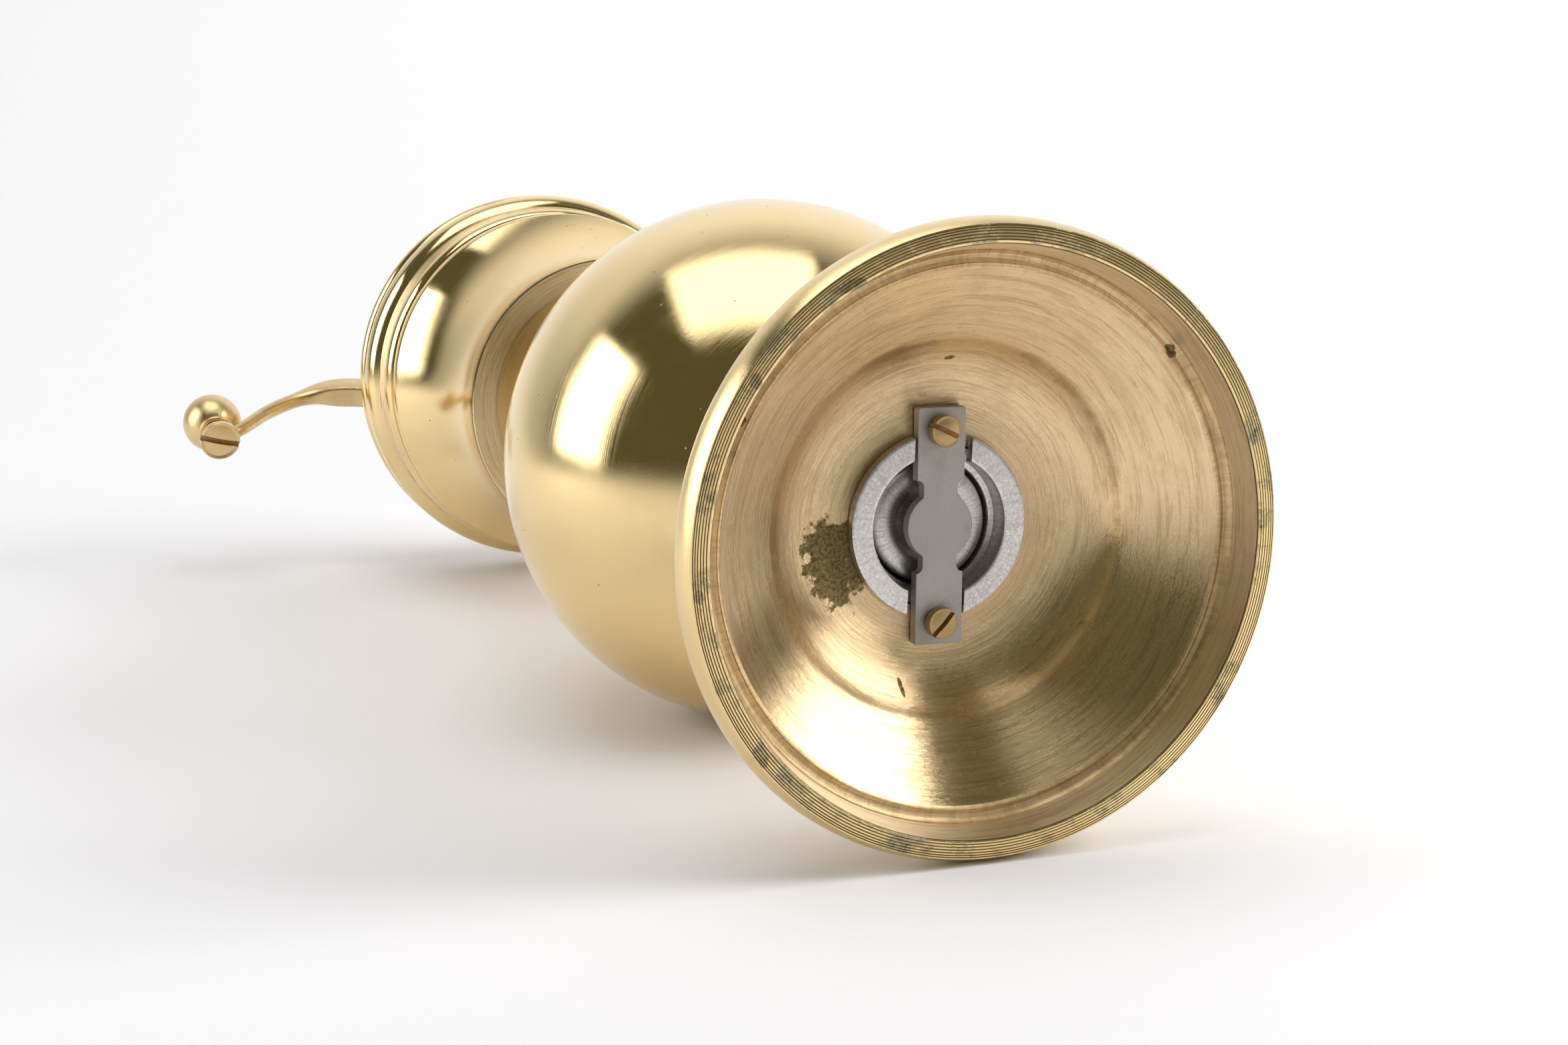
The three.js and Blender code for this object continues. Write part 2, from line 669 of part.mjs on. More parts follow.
// Turns what is drawn along the arm's own upright into the leaning arm, with its hub at HUB_Z.
function leaning(geometry) {
  geometry.rotateX(-radians(ARM_LEAN));
  geometry.translate(0, 0, HUB_Z);
  return geometry;
}

function crankArm() {
  const eye = turned(
    [
      at(0, EYE_BOTTOM),
      at(EYE_RADIUS - 0.3, EYE_BOTTOM),
      at(EYE_RADIUS, EYE_BOTTOM + 0.5),
      at(EYE_RADIUS, EYE_TOP - 0.5),
      at(EYE_RADIUS - 0.3, EYE_TOP),
      at(0, EYE_TOP),
    ],
    SMALL_SIDES,
  );
  eye.translate(CRANK_REACH, 0, 0);
  const eyeHole = rod(1.6, EYE_BOTTOM - 3, EYE_TOP + 3, 16);
  eyeHole.translate(CRANK_REACH, 0, 0);
  const clearBelow = rod(KNOB_SCREW_RADIUS + RUN, EYE_BOTTOM - 4, EYE_BOTTOM);
  clearBelow.translate(CRANK_REACH, 0, 0);
  const clearAbove = rod(KNOB_COLLAR_RADIUS + RUN, EYE_TOP, EYE_TOP + 5);
  clearAbove.translate(CRANK_REACH, 0, 0);
  const hub = turned([
    at(0, HUB_BOTTOM_Z),
    at(HUB_RADIUS - 0.5, HUB_BOTTOM_Z),
    at(HUB_RADIUS, HUB_BOTTOM_Z + 0.5),
    at(HUB_RADIUS, HUB_TOP_Z - 0.9),
    at(HUB_RADIUS - 0.9, HUB_TOP_Z),
    at(0, HUB_TOP_Z),
  ]);
  const arm = solid(leaning(armGeometry()))
    .add(solid(leaning(eye)))
    .subtract(solid(leaning(eyeHole)))
    .subtract(solid(leaning(clearBelow)))
    .subtract(solid(leaning(clearAbove)));
  const trimmed = arm.subtract(solid(bar(14, 14, HUB_Z - 8, HUB_BOTTOM_Z)));
  const whole = trimmed.add(solid(hub)).subtract(solid(squareHole(HUB_Z - 9, HUB_Z + 9)));
  return piece("crank_arm", geometryOf(whole), BRASS);
}

// The round nut on top. Turning it lifts the spindle and sets the grind.
function adjustingNut() {
  const bottom = HUB_TOP_Z + 1.5;
  const bore = THREAD_RADIUS + FIT;
  return piece(
    "adjusting_nut",
    turned(
      [
        at(bore, bottom),
        at(6.2, bottom),
        at(6.6, bottom + 0.5),
        at(6.6, bottom + 3.2),
        at(5.4, bottom + 3.9),
        ...arc(0, bottom + 3.6, 5, 8, 90, 6),
        at(0, bottom + 7.2),
        at(bore, bottom + 7.2),
      ],
      SMALL_SIDES,
    ),
    BRASS,
  );
}

// Knob and screw stand on the leaning arm's own upright, over the eye.
function knobGroup() {
  const group = new THREE.Group();
  const lean = new THREE.Group();
  lean.rotation.x = -radians(ARM_LEAN);
  lean.position.z = HUB_Z;
  group.add(lean);
  const base = EYE_TOP + RUN;
  const start = -THREE.MathUtils.radToDeg(Math.acos((KNOB_COLLAR_RADIUS - 0.7) / KNOB_RADIUS));
  const blind = 2.4;
  const knob = piece(
    "knob",
    turned(
      [
        at(1.55, base),
        at(KNOB_COLLAR_RADIUS - 0.3, base),
        at(KNOB_COLLAR_RADIUS, base + 0.4),
        ...arc(0, KNOB_MIDDLE, KNOB_RADIUS, start + 12, 90, 8),
        at(0, blind),
        at(1.55, blind),
      ],
      SMALL_SIDES,
    ),
    BRASS,
  );
  knob.position.x = CRANK_REACH;
  const head = 1.6;
  const screw = piece(
    "knob_screw",
    slottedScrew(KNOB_SCREW_RADIUS, head, 1.3, blind - EYE_BOTTOM - 0.4, KNOB_SLOT_WIDTH, 0),
    BRASS,
  );
  screw.position.set(CRANK_REACH, 0, EYE_BOTTOM - RUN);
  lean.add(knob, screw);
  return group;
}

// ---- The mill -----------------------------------------------------------------------------------

const mill = new THREE.Group();
mill.add(footBase(), globeBody(), headCup());
mill.add(lidCover(), lidBush(), bushNut());
mill.add(statorRing(), rotorBurr(), rotorPin(), spindle());
mill.add(bridgeStrap(), ...bridgeScrews());
mill.add(washer("spring_washer_low", 3.8, 6.4, 38.3, 39, STEEL));
mill.add(rotorSpring());
mill.add(washer("spring_washer_top", 5.2 - 1.35, 6.4, 50.75, 51.15, STEEL));
mill.add(upperBridge(), bridgeCirclip());
mill.add(washer("thrust_washer", 3.8, 7, 246.05, 246.9, STEEL));
mill.add(crankArm());
mill.add(washer("hub_washer", 3.8, 6.4, HUB_TOP_Z + 0.2, HUB_TOP_Z + 1.2, STEEL));
mill.add(adjustingNut(), knobGroup());

const knobOutermost = CRANK_REACH + KNOB_RADIUS;
mill.position.x = (FOOT_RADIUS - knobOutermost) / 2;

const part = new THREE.Group();
part.add(mill);

export default part;
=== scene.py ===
"""Looks for the brass pepper mill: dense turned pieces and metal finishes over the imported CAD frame."""

import math

import bmesh
import bpy
from mathutils import Matrix, Vector


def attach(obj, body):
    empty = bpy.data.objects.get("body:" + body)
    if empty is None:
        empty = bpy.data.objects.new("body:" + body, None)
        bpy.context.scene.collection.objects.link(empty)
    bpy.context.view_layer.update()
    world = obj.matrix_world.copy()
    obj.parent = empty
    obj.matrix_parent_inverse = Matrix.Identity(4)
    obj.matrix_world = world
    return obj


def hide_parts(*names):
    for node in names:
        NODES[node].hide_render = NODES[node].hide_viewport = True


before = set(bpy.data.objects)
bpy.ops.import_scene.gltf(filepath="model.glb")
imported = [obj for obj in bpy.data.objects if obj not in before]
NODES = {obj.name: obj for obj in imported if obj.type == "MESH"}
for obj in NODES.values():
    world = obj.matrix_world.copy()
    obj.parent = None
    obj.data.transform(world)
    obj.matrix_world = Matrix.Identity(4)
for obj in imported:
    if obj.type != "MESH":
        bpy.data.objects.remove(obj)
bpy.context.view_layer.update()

MM = 0.001
FOOT_RADIUS = 44.0
KNOB_REACH = 71.8
KNOB_RADIUS = 6.35
AXIS_X = (FOOT_RADIUS - KNOB_REACH - KNOB_RADIUS) / 2  # the mill's own axis, mm
HUB_Z = 250.0
ARM_LEAN = math.radians(16)
STRAP_TURN = math.radians(-81.5)
STRAP_BOTTOM = 18.0
STRAP_THICK = 1.8
SCREW_REACH = 13.65  # from the axis to each of the strap's screws
AROUND = 192  # sides of a full turn on the large pieces
TO_MILL = Matrix.Translation((AXIS_X * MM, 0, 0))


# ---- Materials ----------------------------------------------------------------------------------


class Nodes:
    """Short calls to build one material's node tree."""

    def __init__(self, name):
        self.material = bpy.data.materials.new(name)
        self.material.use_nodes = True
        self.tree = self.material.node_tree
        self.tree.nodes.clear()
        self.out = self.tree.nodes.new("ShaderNodeOutputMaterial")

    def link(self, source, socket):
        self.tree.links.new(source, socket)

    def put(self, value, socket):
        """Feed a socket from another node, or set it. A colour may be given as three numbers."""
        if isinstance(value, bpy.types.NodeSocket):
            self.link(value, socket)
        elif isinstance(value, tuple) and len(value) == 3:
            socket.default_value = (*value, 1)
        else:
            socket.default_value = value

    def math(self, operation, a, b=0.0, clamp=False):
        node = self.tree.nodes.new("ShaderNodeMath")
        node.operation = operation
        node.use_clamp = clamp
        self.put(a, node.inputs[0])
        self.put(b, node.inputs[1])
        return node.outputs[0]

    def scale_to(self, value, low, high, start=0.0, end=1.0):
        node = self.tree.nodes.new("ShaderNodeMapRange")
        node.interpolation_type = "SMOOTHSTEP"
        for socket, number in zip(node.inputs, (value, low, high, start, end)):
            self.put(number, socket)
        return node.outputs[0]

    def mix(self, share, a, b):
        node = self.tree.nodes.new("ShaderNodeMix")
        node.data_type = "RGBA"
        self.put(share, node.inputs[0])
        for socket, colour in zip(node.inputs[6:8], (a, b)):
            self.put(colour, socket)
        return node.outputs[2]

    def noise(self, scale, vector=None, detail=3.0, roughness=0.55, w=None):
        node = self.tree.nodes.new("ShaderNodeTexNoise")
        node.inputs["Scale"].default_value = scale
        node.inputs["Detail"].default_value = detail
        node.inputs["Roughness"].default_value = roughness
        if w is not None:
            node.noise_dimensions = "1D"
            self.link(w, node.inputs["W"])
        else:
            self.link(vector, node.inputs["Vector"])
        return node.outputs[0]

    def cells(self, scale, vector):
        node = self.tree.nodes.new("ShaderNodeTexVoronoi")
        node.inputs["Scale"].default_value = scale
        self.link(vector, node.inputs["Vector"])
        return node.outputs["Distance"], node.outputs["Color"]

    def place(self):
        """The point on the surface, in mm: whole vector, distance from the mill's axis, and height."""
        where = self.tree.nodes.new("ShaderNodeTexCoord")
        shift = self.tree.nodes.new("ShaderNodeMapping")
        shift.vector_type = "POINT"
        shift.inputs["Location"].default_value = (-AXIS_X, 0, 0)
        shift.inputs["Scale"].default_value = (1000, 1000, 1000)
        self.link(where.outputs["Object"], shift.inputs["Vector"])
        split = self.tree.nodes.new("ShaderNodeSeparateXYZ")
        self.link(shift.outputs[0], split.inputs[0])
        x, y, z = split.outputs
        square = self.math("ADD", self.math("MULTIPLY", x, x), self.math("MULTIPLY", y, y))
        return shift.outputs[0], self.math("SQRT", square), z

    def mapped(self, point, kind, **settings):
        node = self.tree.nodes.new("ShaderNodeMapping")
        node.vector_type = kind
        for name, value in settings.items():
            node.inputs[name].default_value = value
        self.link(point, node.inputs["Vector"])
        return node.outputs[0]

    def swept(self, point, along, turns):
        """A vector that changes quickly with along and slowly round the axis, for arcs left by a tool."""
        flat = self.mapped(point, "POINT", Scale=(1, 1, 0))
        unit = self.tree.nodes.new("ShaderNodeVectorMath")
        unit.operation = "NORMALIZE"
        self.link(flat, unit.inputs[0])
        split = self.tree.nodes.new("ShaderNodeSeparateXYZ")
        self.link(unit.outputs[0], split.inputs[0])
        join = self.tree.nodes.new("ShaderNodeCombineXYZ")
        self.link(self.math("MULTIPLY", split.outputs[0], turns), join.inputs[0])
        self.link(self.math("MULTIPLY", split.outputs[1], turns), join.inputs[1])
        self.link(along, join.inputs[2])
        return join.outputs[0]

    def blotch(self, point, centre, wide, tall):
        """A ragged stain about a point in mm: 1 inside and 0 outside."""
        near = self.mapped(point, "TEXTURE", Location=centre, Scale=(wide, tall, 8.0))
        length = self.tree.nodes.new("ShaderNodeVectorMath")
        length.operation = "LENGTH"
        self.link(near, length.inputs[0])
        ragged = self.noise(0.45, point, detail=9, roughness=0.66)
        uneven = self.math("MULTIPLY", self.math("SUBTRACT", ragged, 0.5), 1.9)
        return self.scale_to(self.math("ADD", length.outputs["Value"], uneven), 0.84, 0.98, 1.0, 0.0)

    def bump(self, height, distance, below=None):
        node = self.tree.nodes.new("ShaderNodeBump")
        node.inputs["Distance"].default_value = distance
        self.link(height, node.inputs["Height"])
        if below is not None:
            self.link(below, node.inputs["Normal"])
        return node.outputs[0]

    def surface(self, colour, roughness, normal=None, metallic=1.0):
        shader = self.tree.nodes.new("ShaderNodeBsdfPrincipled")
        self.put(metallic, shader.inputs["Metallic"])
        self.put(colour, shader.inputs["Base Color"])
        self.put(roughness, shader.inputs["Roughness"])
        if normal is not None:
            self.link(normal, shader.inputs["Normal"])
        self.link(shader.outputs[0], self.out.inputs[0])
        return shader


BRASS = (0.88, 0.685, 0.345)
INNER_BRASS = (0.86, 0.655, 0.385)
OLD_BRASS = (0.50, 0.36, 0.18)
OXIDE = (0.045, 0.042, 0.026)
GREEN_OXIDE = (0.12, 0.13, 0.085)
RUST = (0.23, 0.075, 0.02)
RIM_DIRT = (0.17, 0.115, 0.055)
RIM_GREY = (0.34, 0.33, 0.26)
STAIN_GREY = (0.2, 0.19, 0.14)
STAIN_PALE = (0.36, 0.275, 0.125)
STAIN_DARK = (0.115, 0.085, 0.04)
STEEL_SHADE = (0.05, 0.046, 0.042)
# Stains under the foot: x, y and z of the middle, then half width and half height, all in mm.
STAINS = [
    (15.9, -2.2, 20, 5.2, 6.8),
    (-32.2, 20.4, 9, 1.1, 1.3),
    (34.8, 19.6, 3, 1.2, 2.2),
    (31.5, 23.0, 3, 1.0, 1.4),
    (9.0, -21.5, 15, 0.35, 1.4),
    (-4.0, 23.5, 15, 0.9, 0.3),
]
RIM_STAINS = [
    (36.9, -20.5, 0, 1.1, 1.9),
    (15.8, 37.9, 0, 2.4, 1.0),
    (42.0, 2.0, 0, 0.7, 1.1),
    (30.6, 28.0, 0, 1.0, 1.2),
]


def polished_brass(name, tint=BRASS, gloss=0.055, tarnish=0.1, marks=0.6):
    """Polished turned brass: hairline rings, fine scratches, pinholes and a patchy film."""
    n = Nodes(name)
    point, radius, height = n.place()
    along = n.math("ADD", n.math("MULTIPLY", height, 1.7), n.math("MULTIPLY", radius, 2.3))
    rings = n.noise(2.2, w=along, detail=6, roughness=0.7)
    film = n.noise(0.045, point, detail=6, roughness=0.62)
    cloud = n.noise(0.22, point, detail=4, roughness=0.6)
    pits, pit_colour = n.cells(0.62, point)
    chosen = n.tree.nodes.new("ShaderNodeSeparateColor")
    n.link(pit_colour, chosen.inputs[0])
    few = n.scale_to(chosen.outputs[0], 0.93, 0.94)
    pit = n.math("MULTIPLY", n.scale_to(pits, 0.07, 0.12, 1.0, 0.0), few)
    stained = n.math("MULTIPLY", n.scale_to(film, 0.52, 0.72), tarnish)
    colour = n.mix(stained, tint, OLD_BRASS)
    colour = n.mix(n.math("MULTIPLY", pit, 0.8), colour, OXIDE)
    rough = n.math("ADD", gloss, n.math("MULTIPLY", n.scale_to(cloud, 0.35, 0.7), 0.07))
    rough = n.math("ADD", rough, n.math("MULTIPLY", stained, 0.25))
    rough = n.math("ADD", rough, n.math("MULTIPLY", pit, 0.4))
    drawn_out = n.mapped(point, "POINT", Rotation=(0.6, 0.3, 0.9), Scale=(0.5, 6.0, 2.0))
    scratch = n.noise(0.9, drawn_out, detail=5, roughness=0.75)
    normal = n.bump(rings, 0.000012 * marks)
    normal = n.bump(scratch, 0.000010 * marks, below=normal)
    normal = n.bump(n.math("SUBTRACT", 1.0, pit), 0.00006, below=normal)
    n.surface(colour, rough, normal)
    return n.material


def brushed(n, shader, drag):
    """Spread the gloss across the turning marks."""
    turn = n.tree.nodes.new("ShaderNodeTangent")
    turn.direction_type = "RADIAL"
    turn.axis = "Z"
    shader.inputs["Anisotropic"].default_value = drag
    shader.inputs["Anisotropic Rotation"].default_value = 0.25
    n.link(turn.outputs[0], shader.inputs["Tangent"])


def turned_brass(name, gloss=0.27, tarnish=0.5, marks=1.0, dirt=0.0, tint=BRASS, drag=0.0, chatter=0.0):
    """Brass as the lathe left it: arcs in the surface, duller, with oxide in patches."""
    n = Nodes(name)
    point, radius, height = n.place()
    along = n.math("ADD", n.math("MULTIPLY", height, 1.9), n.math("MULTIPLY", radius, 2.6))
    fine = n.noise(1.0, n.swept(point, n.math("MULTIPLY", along, 1.9), 2.6), detail=6, roughness=0.8)
    broad = n.noise(1.0, n.swept(point, n.math("MULTIPLY", along, 0.5), 1.2), detail=6, roughness=0.75)
    film = n.noise(0.12, point, detail=8, roughness=0.68)
    grain = n.noise(1.9, point, detail=6, roughness=0.7)
    patch = n.math("MULTIPLY", n.scale_to(film, 0.5 - 0.14 * dirt, 0.68), tarnish)
    speck = n.scale_to(grain, 0.62, 0.72)
    colour = n.mix(patch, tint, OLD_BRASS)
    colour = n.mix(n.math("MULTIPLY", speck, 0.15 + 0.4 * dirt), colour, OXIDE)
    colour = n.mix(n.math("MULTIPLY", n.scale_to(fine, 0.49, 0.60), 0.52), colour, OLD_BRASS)
    colour = n.mix(n.math("MULTIPLY", n.scale_to(broad, 0.50, 0.66), 0.30), colour, OLD_BRASS)
    rough = n.math("ADD", gloss, n.math("MULTIPLY", n.scale_to(broad, 0.3, 0.7), 0.08))
    rough = n.math("ADD", rough, n.math("MULTIPLY", patch, 0.18))
    normal = n.bump(broad, 0.00007 * marks)
    normal = n.bump(fine, 0.00004 * marks, below=normal)
    if chatter:
        beats = n.noise(1.0, n.swept(point, n.math("MULTIPLY", along, 0.12), 60.0), detail=2)
        colour = n.mix(n.math("MULTIPLY", n.scale_to(beats, 0.45, 0.62), chatter), colour, OXIDE)
        normal = n.bump(beats, 0.00003, below=normal)
    for x, y, z, wide, tall in STAINS:
        stain = n.blotch(point, (x, y, z), wide, tall)
        inside = n.mix(n.scale_to(grain, 0.36, 0.68), STAIN_PALE, STAIN_DARK)
        colour = n.mix(stain, colour, inside)
        rough = n.math("ADD", rough, n.math("MULTIPLY", stain, 0.3))
    shader = n.surface(colour, rough, normal)
    if drag:
        brushed(n, shader, drag)
    return n.material


def rim_brass(name):
    """The rim that the mill stands on: rings cut in it hold brown dirt, and oxide sits on it in patches."""
    n = Nodes(name)
    point, radius, height = n.place()
    film = n.noise(0.17, point, detail=9, roughness=0.68)
    grain = n.noise(1.6, point, detail=6, roughness=0.7)
    sunk = n.scale_to(height, 0.01, 0.09)
    patch = n.scale_to(film, 0.50, 0.66)
    colour = n.mix(n.math("MULTIPLY", sunk, 0.95), BRASS, RIM_DIRT)
    oxide = n.mix(n.scale_to(grain, 0.4, 0.6), RIM_GREY, GREEN_OXIDE)
    colour = n.mix(n.math("MULTIPLY", patch, 0.75), colour, oxide)
    pits = n.math("MULTIPLY", patch, n.scale_to(grain, 0.60, 0.66))
    colour = n.mix(pits, colour, OXIDE)
    for x, y, z, wide, tall in RIM_STAINS:
        stain = n.math("MULTIPLY", n.blotch(point, (x, y, z), wide, tall), 0.55)
        inside = n.mix(n.scale_to(grain, 0.45, 0.55), STAIN_GREY, OXIDE)
        colour = n.mix(stain, colour, inside)
    rough = n.math("ADD", 0.22, n.math("MULTIPLY", patch, 0.25))
    rough = n.math("ADD", rough, n.math("MULTIPLY", sunk, 0.2))
    n.surface(colour, rough, n.bump(patch, 0.00003))
    return n.material


def steel(name, tint, gloss, marks=1.0, rust=0.1, grain_size=3.0, dents=0.00001, drag=0.0, strokes=0.0):
    """Steel with turning marks, grain and specks of rust. strokes adds marks across the turning."""
    n = Nodes(name)
    point, radius, height = n.place()
    along = n.math("ADD", n.math("MULTIPLY", height, 2.1), n.math("MULTIPLY", radius, 3.1))
    fine = n.noise(1.0, n.swept(point, along, 9.0), detail=5, roughness=0.75)
    grain = n.noise(grain_size, point, detail=5, roughness=0.7)
    film = n.noise(0.35, point, detail=7, roughness=0.7)
    rusty = n.math("MULTIPLY", n.scale_to(film, 0.58, 0.68), rust)
    colour = n.mix(n.scale_to(grain, 0.35, 0.7), tint, tuple(c * 0.72 for c in tint))
    colour = n.mix(rusty, colour, RUST)
    if strokes:
        way = n.swept(point, n.math("MULTIPLY", along, 0.09), 26.0)
        across = n.scale_to(n.noise(1.0, way, detail=7, roughness=0.72), 0.46, 0.66)
        colour = n.mix(n.math("MULTIPLY", across, strokes), colour, STEEL_SHADE)
    rough = n.math("ADD", gloss, n.math("MULTIPLY", n.scale_to(grain, 0.35, 0.7), 0.12))
    rough = n.math("ADD", rough, n.math("MULTIPLY", rusty, 0.4))
    normal = n.bump(fine, 0.00002 * marks)
    normal = n.bump(grain, dents, below=normal)
    shader = n.surface(colour, rough, normal, n.math("SUBTRACT", 1.0, n.math("MULTIPLY", rusty, 0.8)))
    if drag:
        brushed(n, shader, drag)
    return n.material


POLISHED = polished_brass("polished_brass")
FOOT_POLISHED = polished_brass("foot_polished_brass", gloss=0.12, tarnish=0.45, marks=1.6)
CAST_POLISHED = polished_brass(
    "cast_polished_brass", tint=(0.76, 0.57, 0.29), gloss=0.16, tarnish=0.6, marks=2.5,
)
TURNED = turned_brass("turned_brass", gloss=0.3, tint=INNER_BRASS)
CONE = turned_brass(
    "cone_brass", gloss=0.23, tarnish=0.25, marks=1.5, dirt=0.04, tint=INNER_BRASS, drag=0.85,
)
FACE = turned_brass(
    "face_brass", gloss=0.26, tarnish=0.25, marks=1.4, dirt=0.1, tint=INNER_BRASS, drag=0.85,
)
# The band's lighter, paler tint is painted light: it brightens the band against the brass of the cone
# beside it.
LIT_BAND = turned_brass(
    "band_brass_painted_light", gloss=0.36, tarnish=0.2, marks=1.0, tint=(0.93, 0.79, 0.55), drag=0.8,
)
BASE = turned_brass("base_brass", gloss=0.5, tarnish=0.1, tint=(0.97, 0.84, 0.62), drag=0.8)
LEDGE = turned_brass(
    "ledge_brass", gloss=0.34, tarnish=0.5, marks=2.0, dirt=0.5, tint=INNER_BRASS, chatter=0.15,
)
RIM = rim_brass("rim_brass")
SCREW_BRASS = turned_brass(
    "screw_brass", gloss=0.32, tarnish=0.7, dirt=0.6, tint=(0.55, 0.39, 0.17),
)
# Walls and floor of the screw slots: their dark reddish tint is painted shade inside the slots.
SLOT_SHADE_BRASS = turned_brass("slot_painted_shade", gloss=0.4, tarnish=0.8, dirt=0.6, tint=(0.30, 0.13, 0.045))
STRAP_STEEL = steel(
    "strap_steel", (0.57, 0.55, 0.53), gloss=0.40, marks=0.0, rust=0.12, grain_size=7.0, dents=0.00009,
)
RING_STEEL = steel(
    "ring_steel", (0.80, 0.765, 0.73), gloss=0.27, marks=1.4, rust=0.1, drag=0.6, strokes=0.22,
)
BURR_STEEL = steel(
    "burr_steel", (0.78, 0.745, 0.71), gloss=0.3, marks=1.4, rust=0.2, drag=0.5, strokes=0.32,
)
BAR_STEEL = steel("bar_steel", (0.40, 0.39, 0.38), gloss=0.3, marks=0.4, rust=0.1)
SPRING_STEEL = steel("spring_steel", (0.30, 0.29, 0.28), gloss=0.25, marks=0.2, rust=0.05)


# ---- Shapes -------------------------------------------------------------------------------------


def arc(r, z, radius, start, end, steps=24, tall=None):
    """Points of an arc about (r, z). 0 degrees is outwards and 90 is up. tall makes it half an oval."""
    points = []
    for i in range(steps + 1):
        angle = math.radians(start + (end - start) * i / steps)
        points.append((r + radius * math.cos(angle), z + (tall or radius) * math.sin(angle)))
    return points


def line(a, b, steps=12):
    return [(a[0] + (b[0] - a[0]) * i / steps, a[1] + (b[1] - a[1]) * i / steps) for i in range(steps + 1)]


def finish_piece(name, mesh, place, body, node, materials, sharp=32):
    """Make an object of a mesh in mm. It replaces the node, or only joins the body if node is None."""
    mesh.transform(Matrix.Scale(MM, 4))
    mesh.transform(place)
    for material in materials:
        mesh.materials.append(material)
    mesh.shade_smooth()
    mesh.set_sharp_from_angle(angle=math.radians(sharp))
    piece = bpy.data.objects.new(name, mesh)
    bpy.context.scene.collection.objects.link(piece)
    if node:
        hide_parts(node)
    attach(piece, body)


def revolve(name, zones, sides=AROUND, shape=None):
    """A mesh turned about Z. zones is a list of (points, material number) that follow one another.
    The section is closed unless both ends lie on the axis. shape moves a point: (r, z, angle) to (r, z)."""
    points, numbers = [], []
    for section, number in zones:
        for p in section:
            if points and math.dist(points[-1], p) < 1e-5:
                continue
            points.append(p)
            numbers.append(number)
    closed = points[0][0] > 1e-6 or points[-1][0] > 1e-6
    if closed and math.dist(points[0], points[-1]) < 1e-5:
        points.pop()
        numbers.pop()
    bm = bmesh.new()
    rings = []
    for r, z in points:
        if r < 1e-6:
            rings.append([bm.verts.new((0, 0, z))])
            continue
        ring = []
        for i in range(sides):
            angle = 2 * math.pi * i / sides
            rr, zz = shape(r, z, angle) if shape else (r, z)
            ring.append(bm.verts.new((rr * math.cos(angle), rr * math.sin(angle), zz)))
        rings.append(ring)
    count = len(rings)
    for k in range(count if closed else count - 1):
        low, high = rings[k], rings[(k + 1) % count]
        number = numbers[(k + 1) % count]
        for i in range(sides):
            j = (i + 1) % sides
            corners = [low[i % len(low)], low[j % len(low)], high[j % len(high)], high[i % len(high)]]
            corners = list(dict.fromkeys(corners))
            if len(corners) > 2:
                bm.faces.new(corners).material_index = number
    bmesh.ops.recalc_face_normals(bm, faces=bm.faces)
    mesh = bpy.data.meshes.new(name)
    bm.to_mesh(mesh)
    bm.free()
    return mesh


def carve(mesh, *cutters):
    """The mesh with each cutter mesh taken away. Cutters are used up."""
    body = bpy.data.objects.new("carved", mesh)
    bpy.context.scene.collection.objects.link(body)
    tools = []
    for cutter in cutters:
        tool = bpy.data.objects.new("cutter", cutter)
        bpy.context.scene.collection.objects.link(tool)
        modifier = body.modifiers.new("cut", "BOOLEAN")
        modifier.operation = "DIFFERENCE"
        modifier.solver = "EXACT"
        modifier.object = tool
        tools.append(tool)
    view = bpy.context.evaluated_depsgraph_get()
    result = bpy.data.meshes.new_from_object(body.evaluated_get(view), depsgraph=view)
    for thing in [body, *tools]:
        bpy.data.objects.remove(thing)
    return result


def shifted(x=0.0, y=0.0, z=0.0):
    """A move given in mm."""
    return Matrix.Translation(Vector((x, y, z)) * MM)


def block(width, depth, bottom, top, place=Matrix()):
    bm = bmesh.new()
    bmesh.ops.create_cube(bm, size=1)
    size = Matrix.Diagonal((width, depth, top - bottom, 1))
    bm.transform(place @ Matrix.Translation((0, 0, (bottom + top) / 2)) @ size)
    mesh = bpy.data.meshes.new("block")
    bm.to_mesh(mesh)
    bm.free()
    return mesh


def softened(mesh, width, segments=3, angle=30):
    """The mesh with its sharp edges rounded."""
    bm = bmesh.new()
    bm.from_mesh(mesh)
    edges = [e for e in bm.edges if len(e.link_faces) == 2 and e.calc_face_angle(0) > math.radians(angle)]
    bmesh.ops.bevel(
        bm, geom=edges, offset=width, segments=segments, affect="EDGES", profile=0.5, clamp_overlap=True
    )
    bm.to_mesh(mesh)
    bm.free()
    return mesh


# ---- Foot ---------------------------------------------------------------------------------------


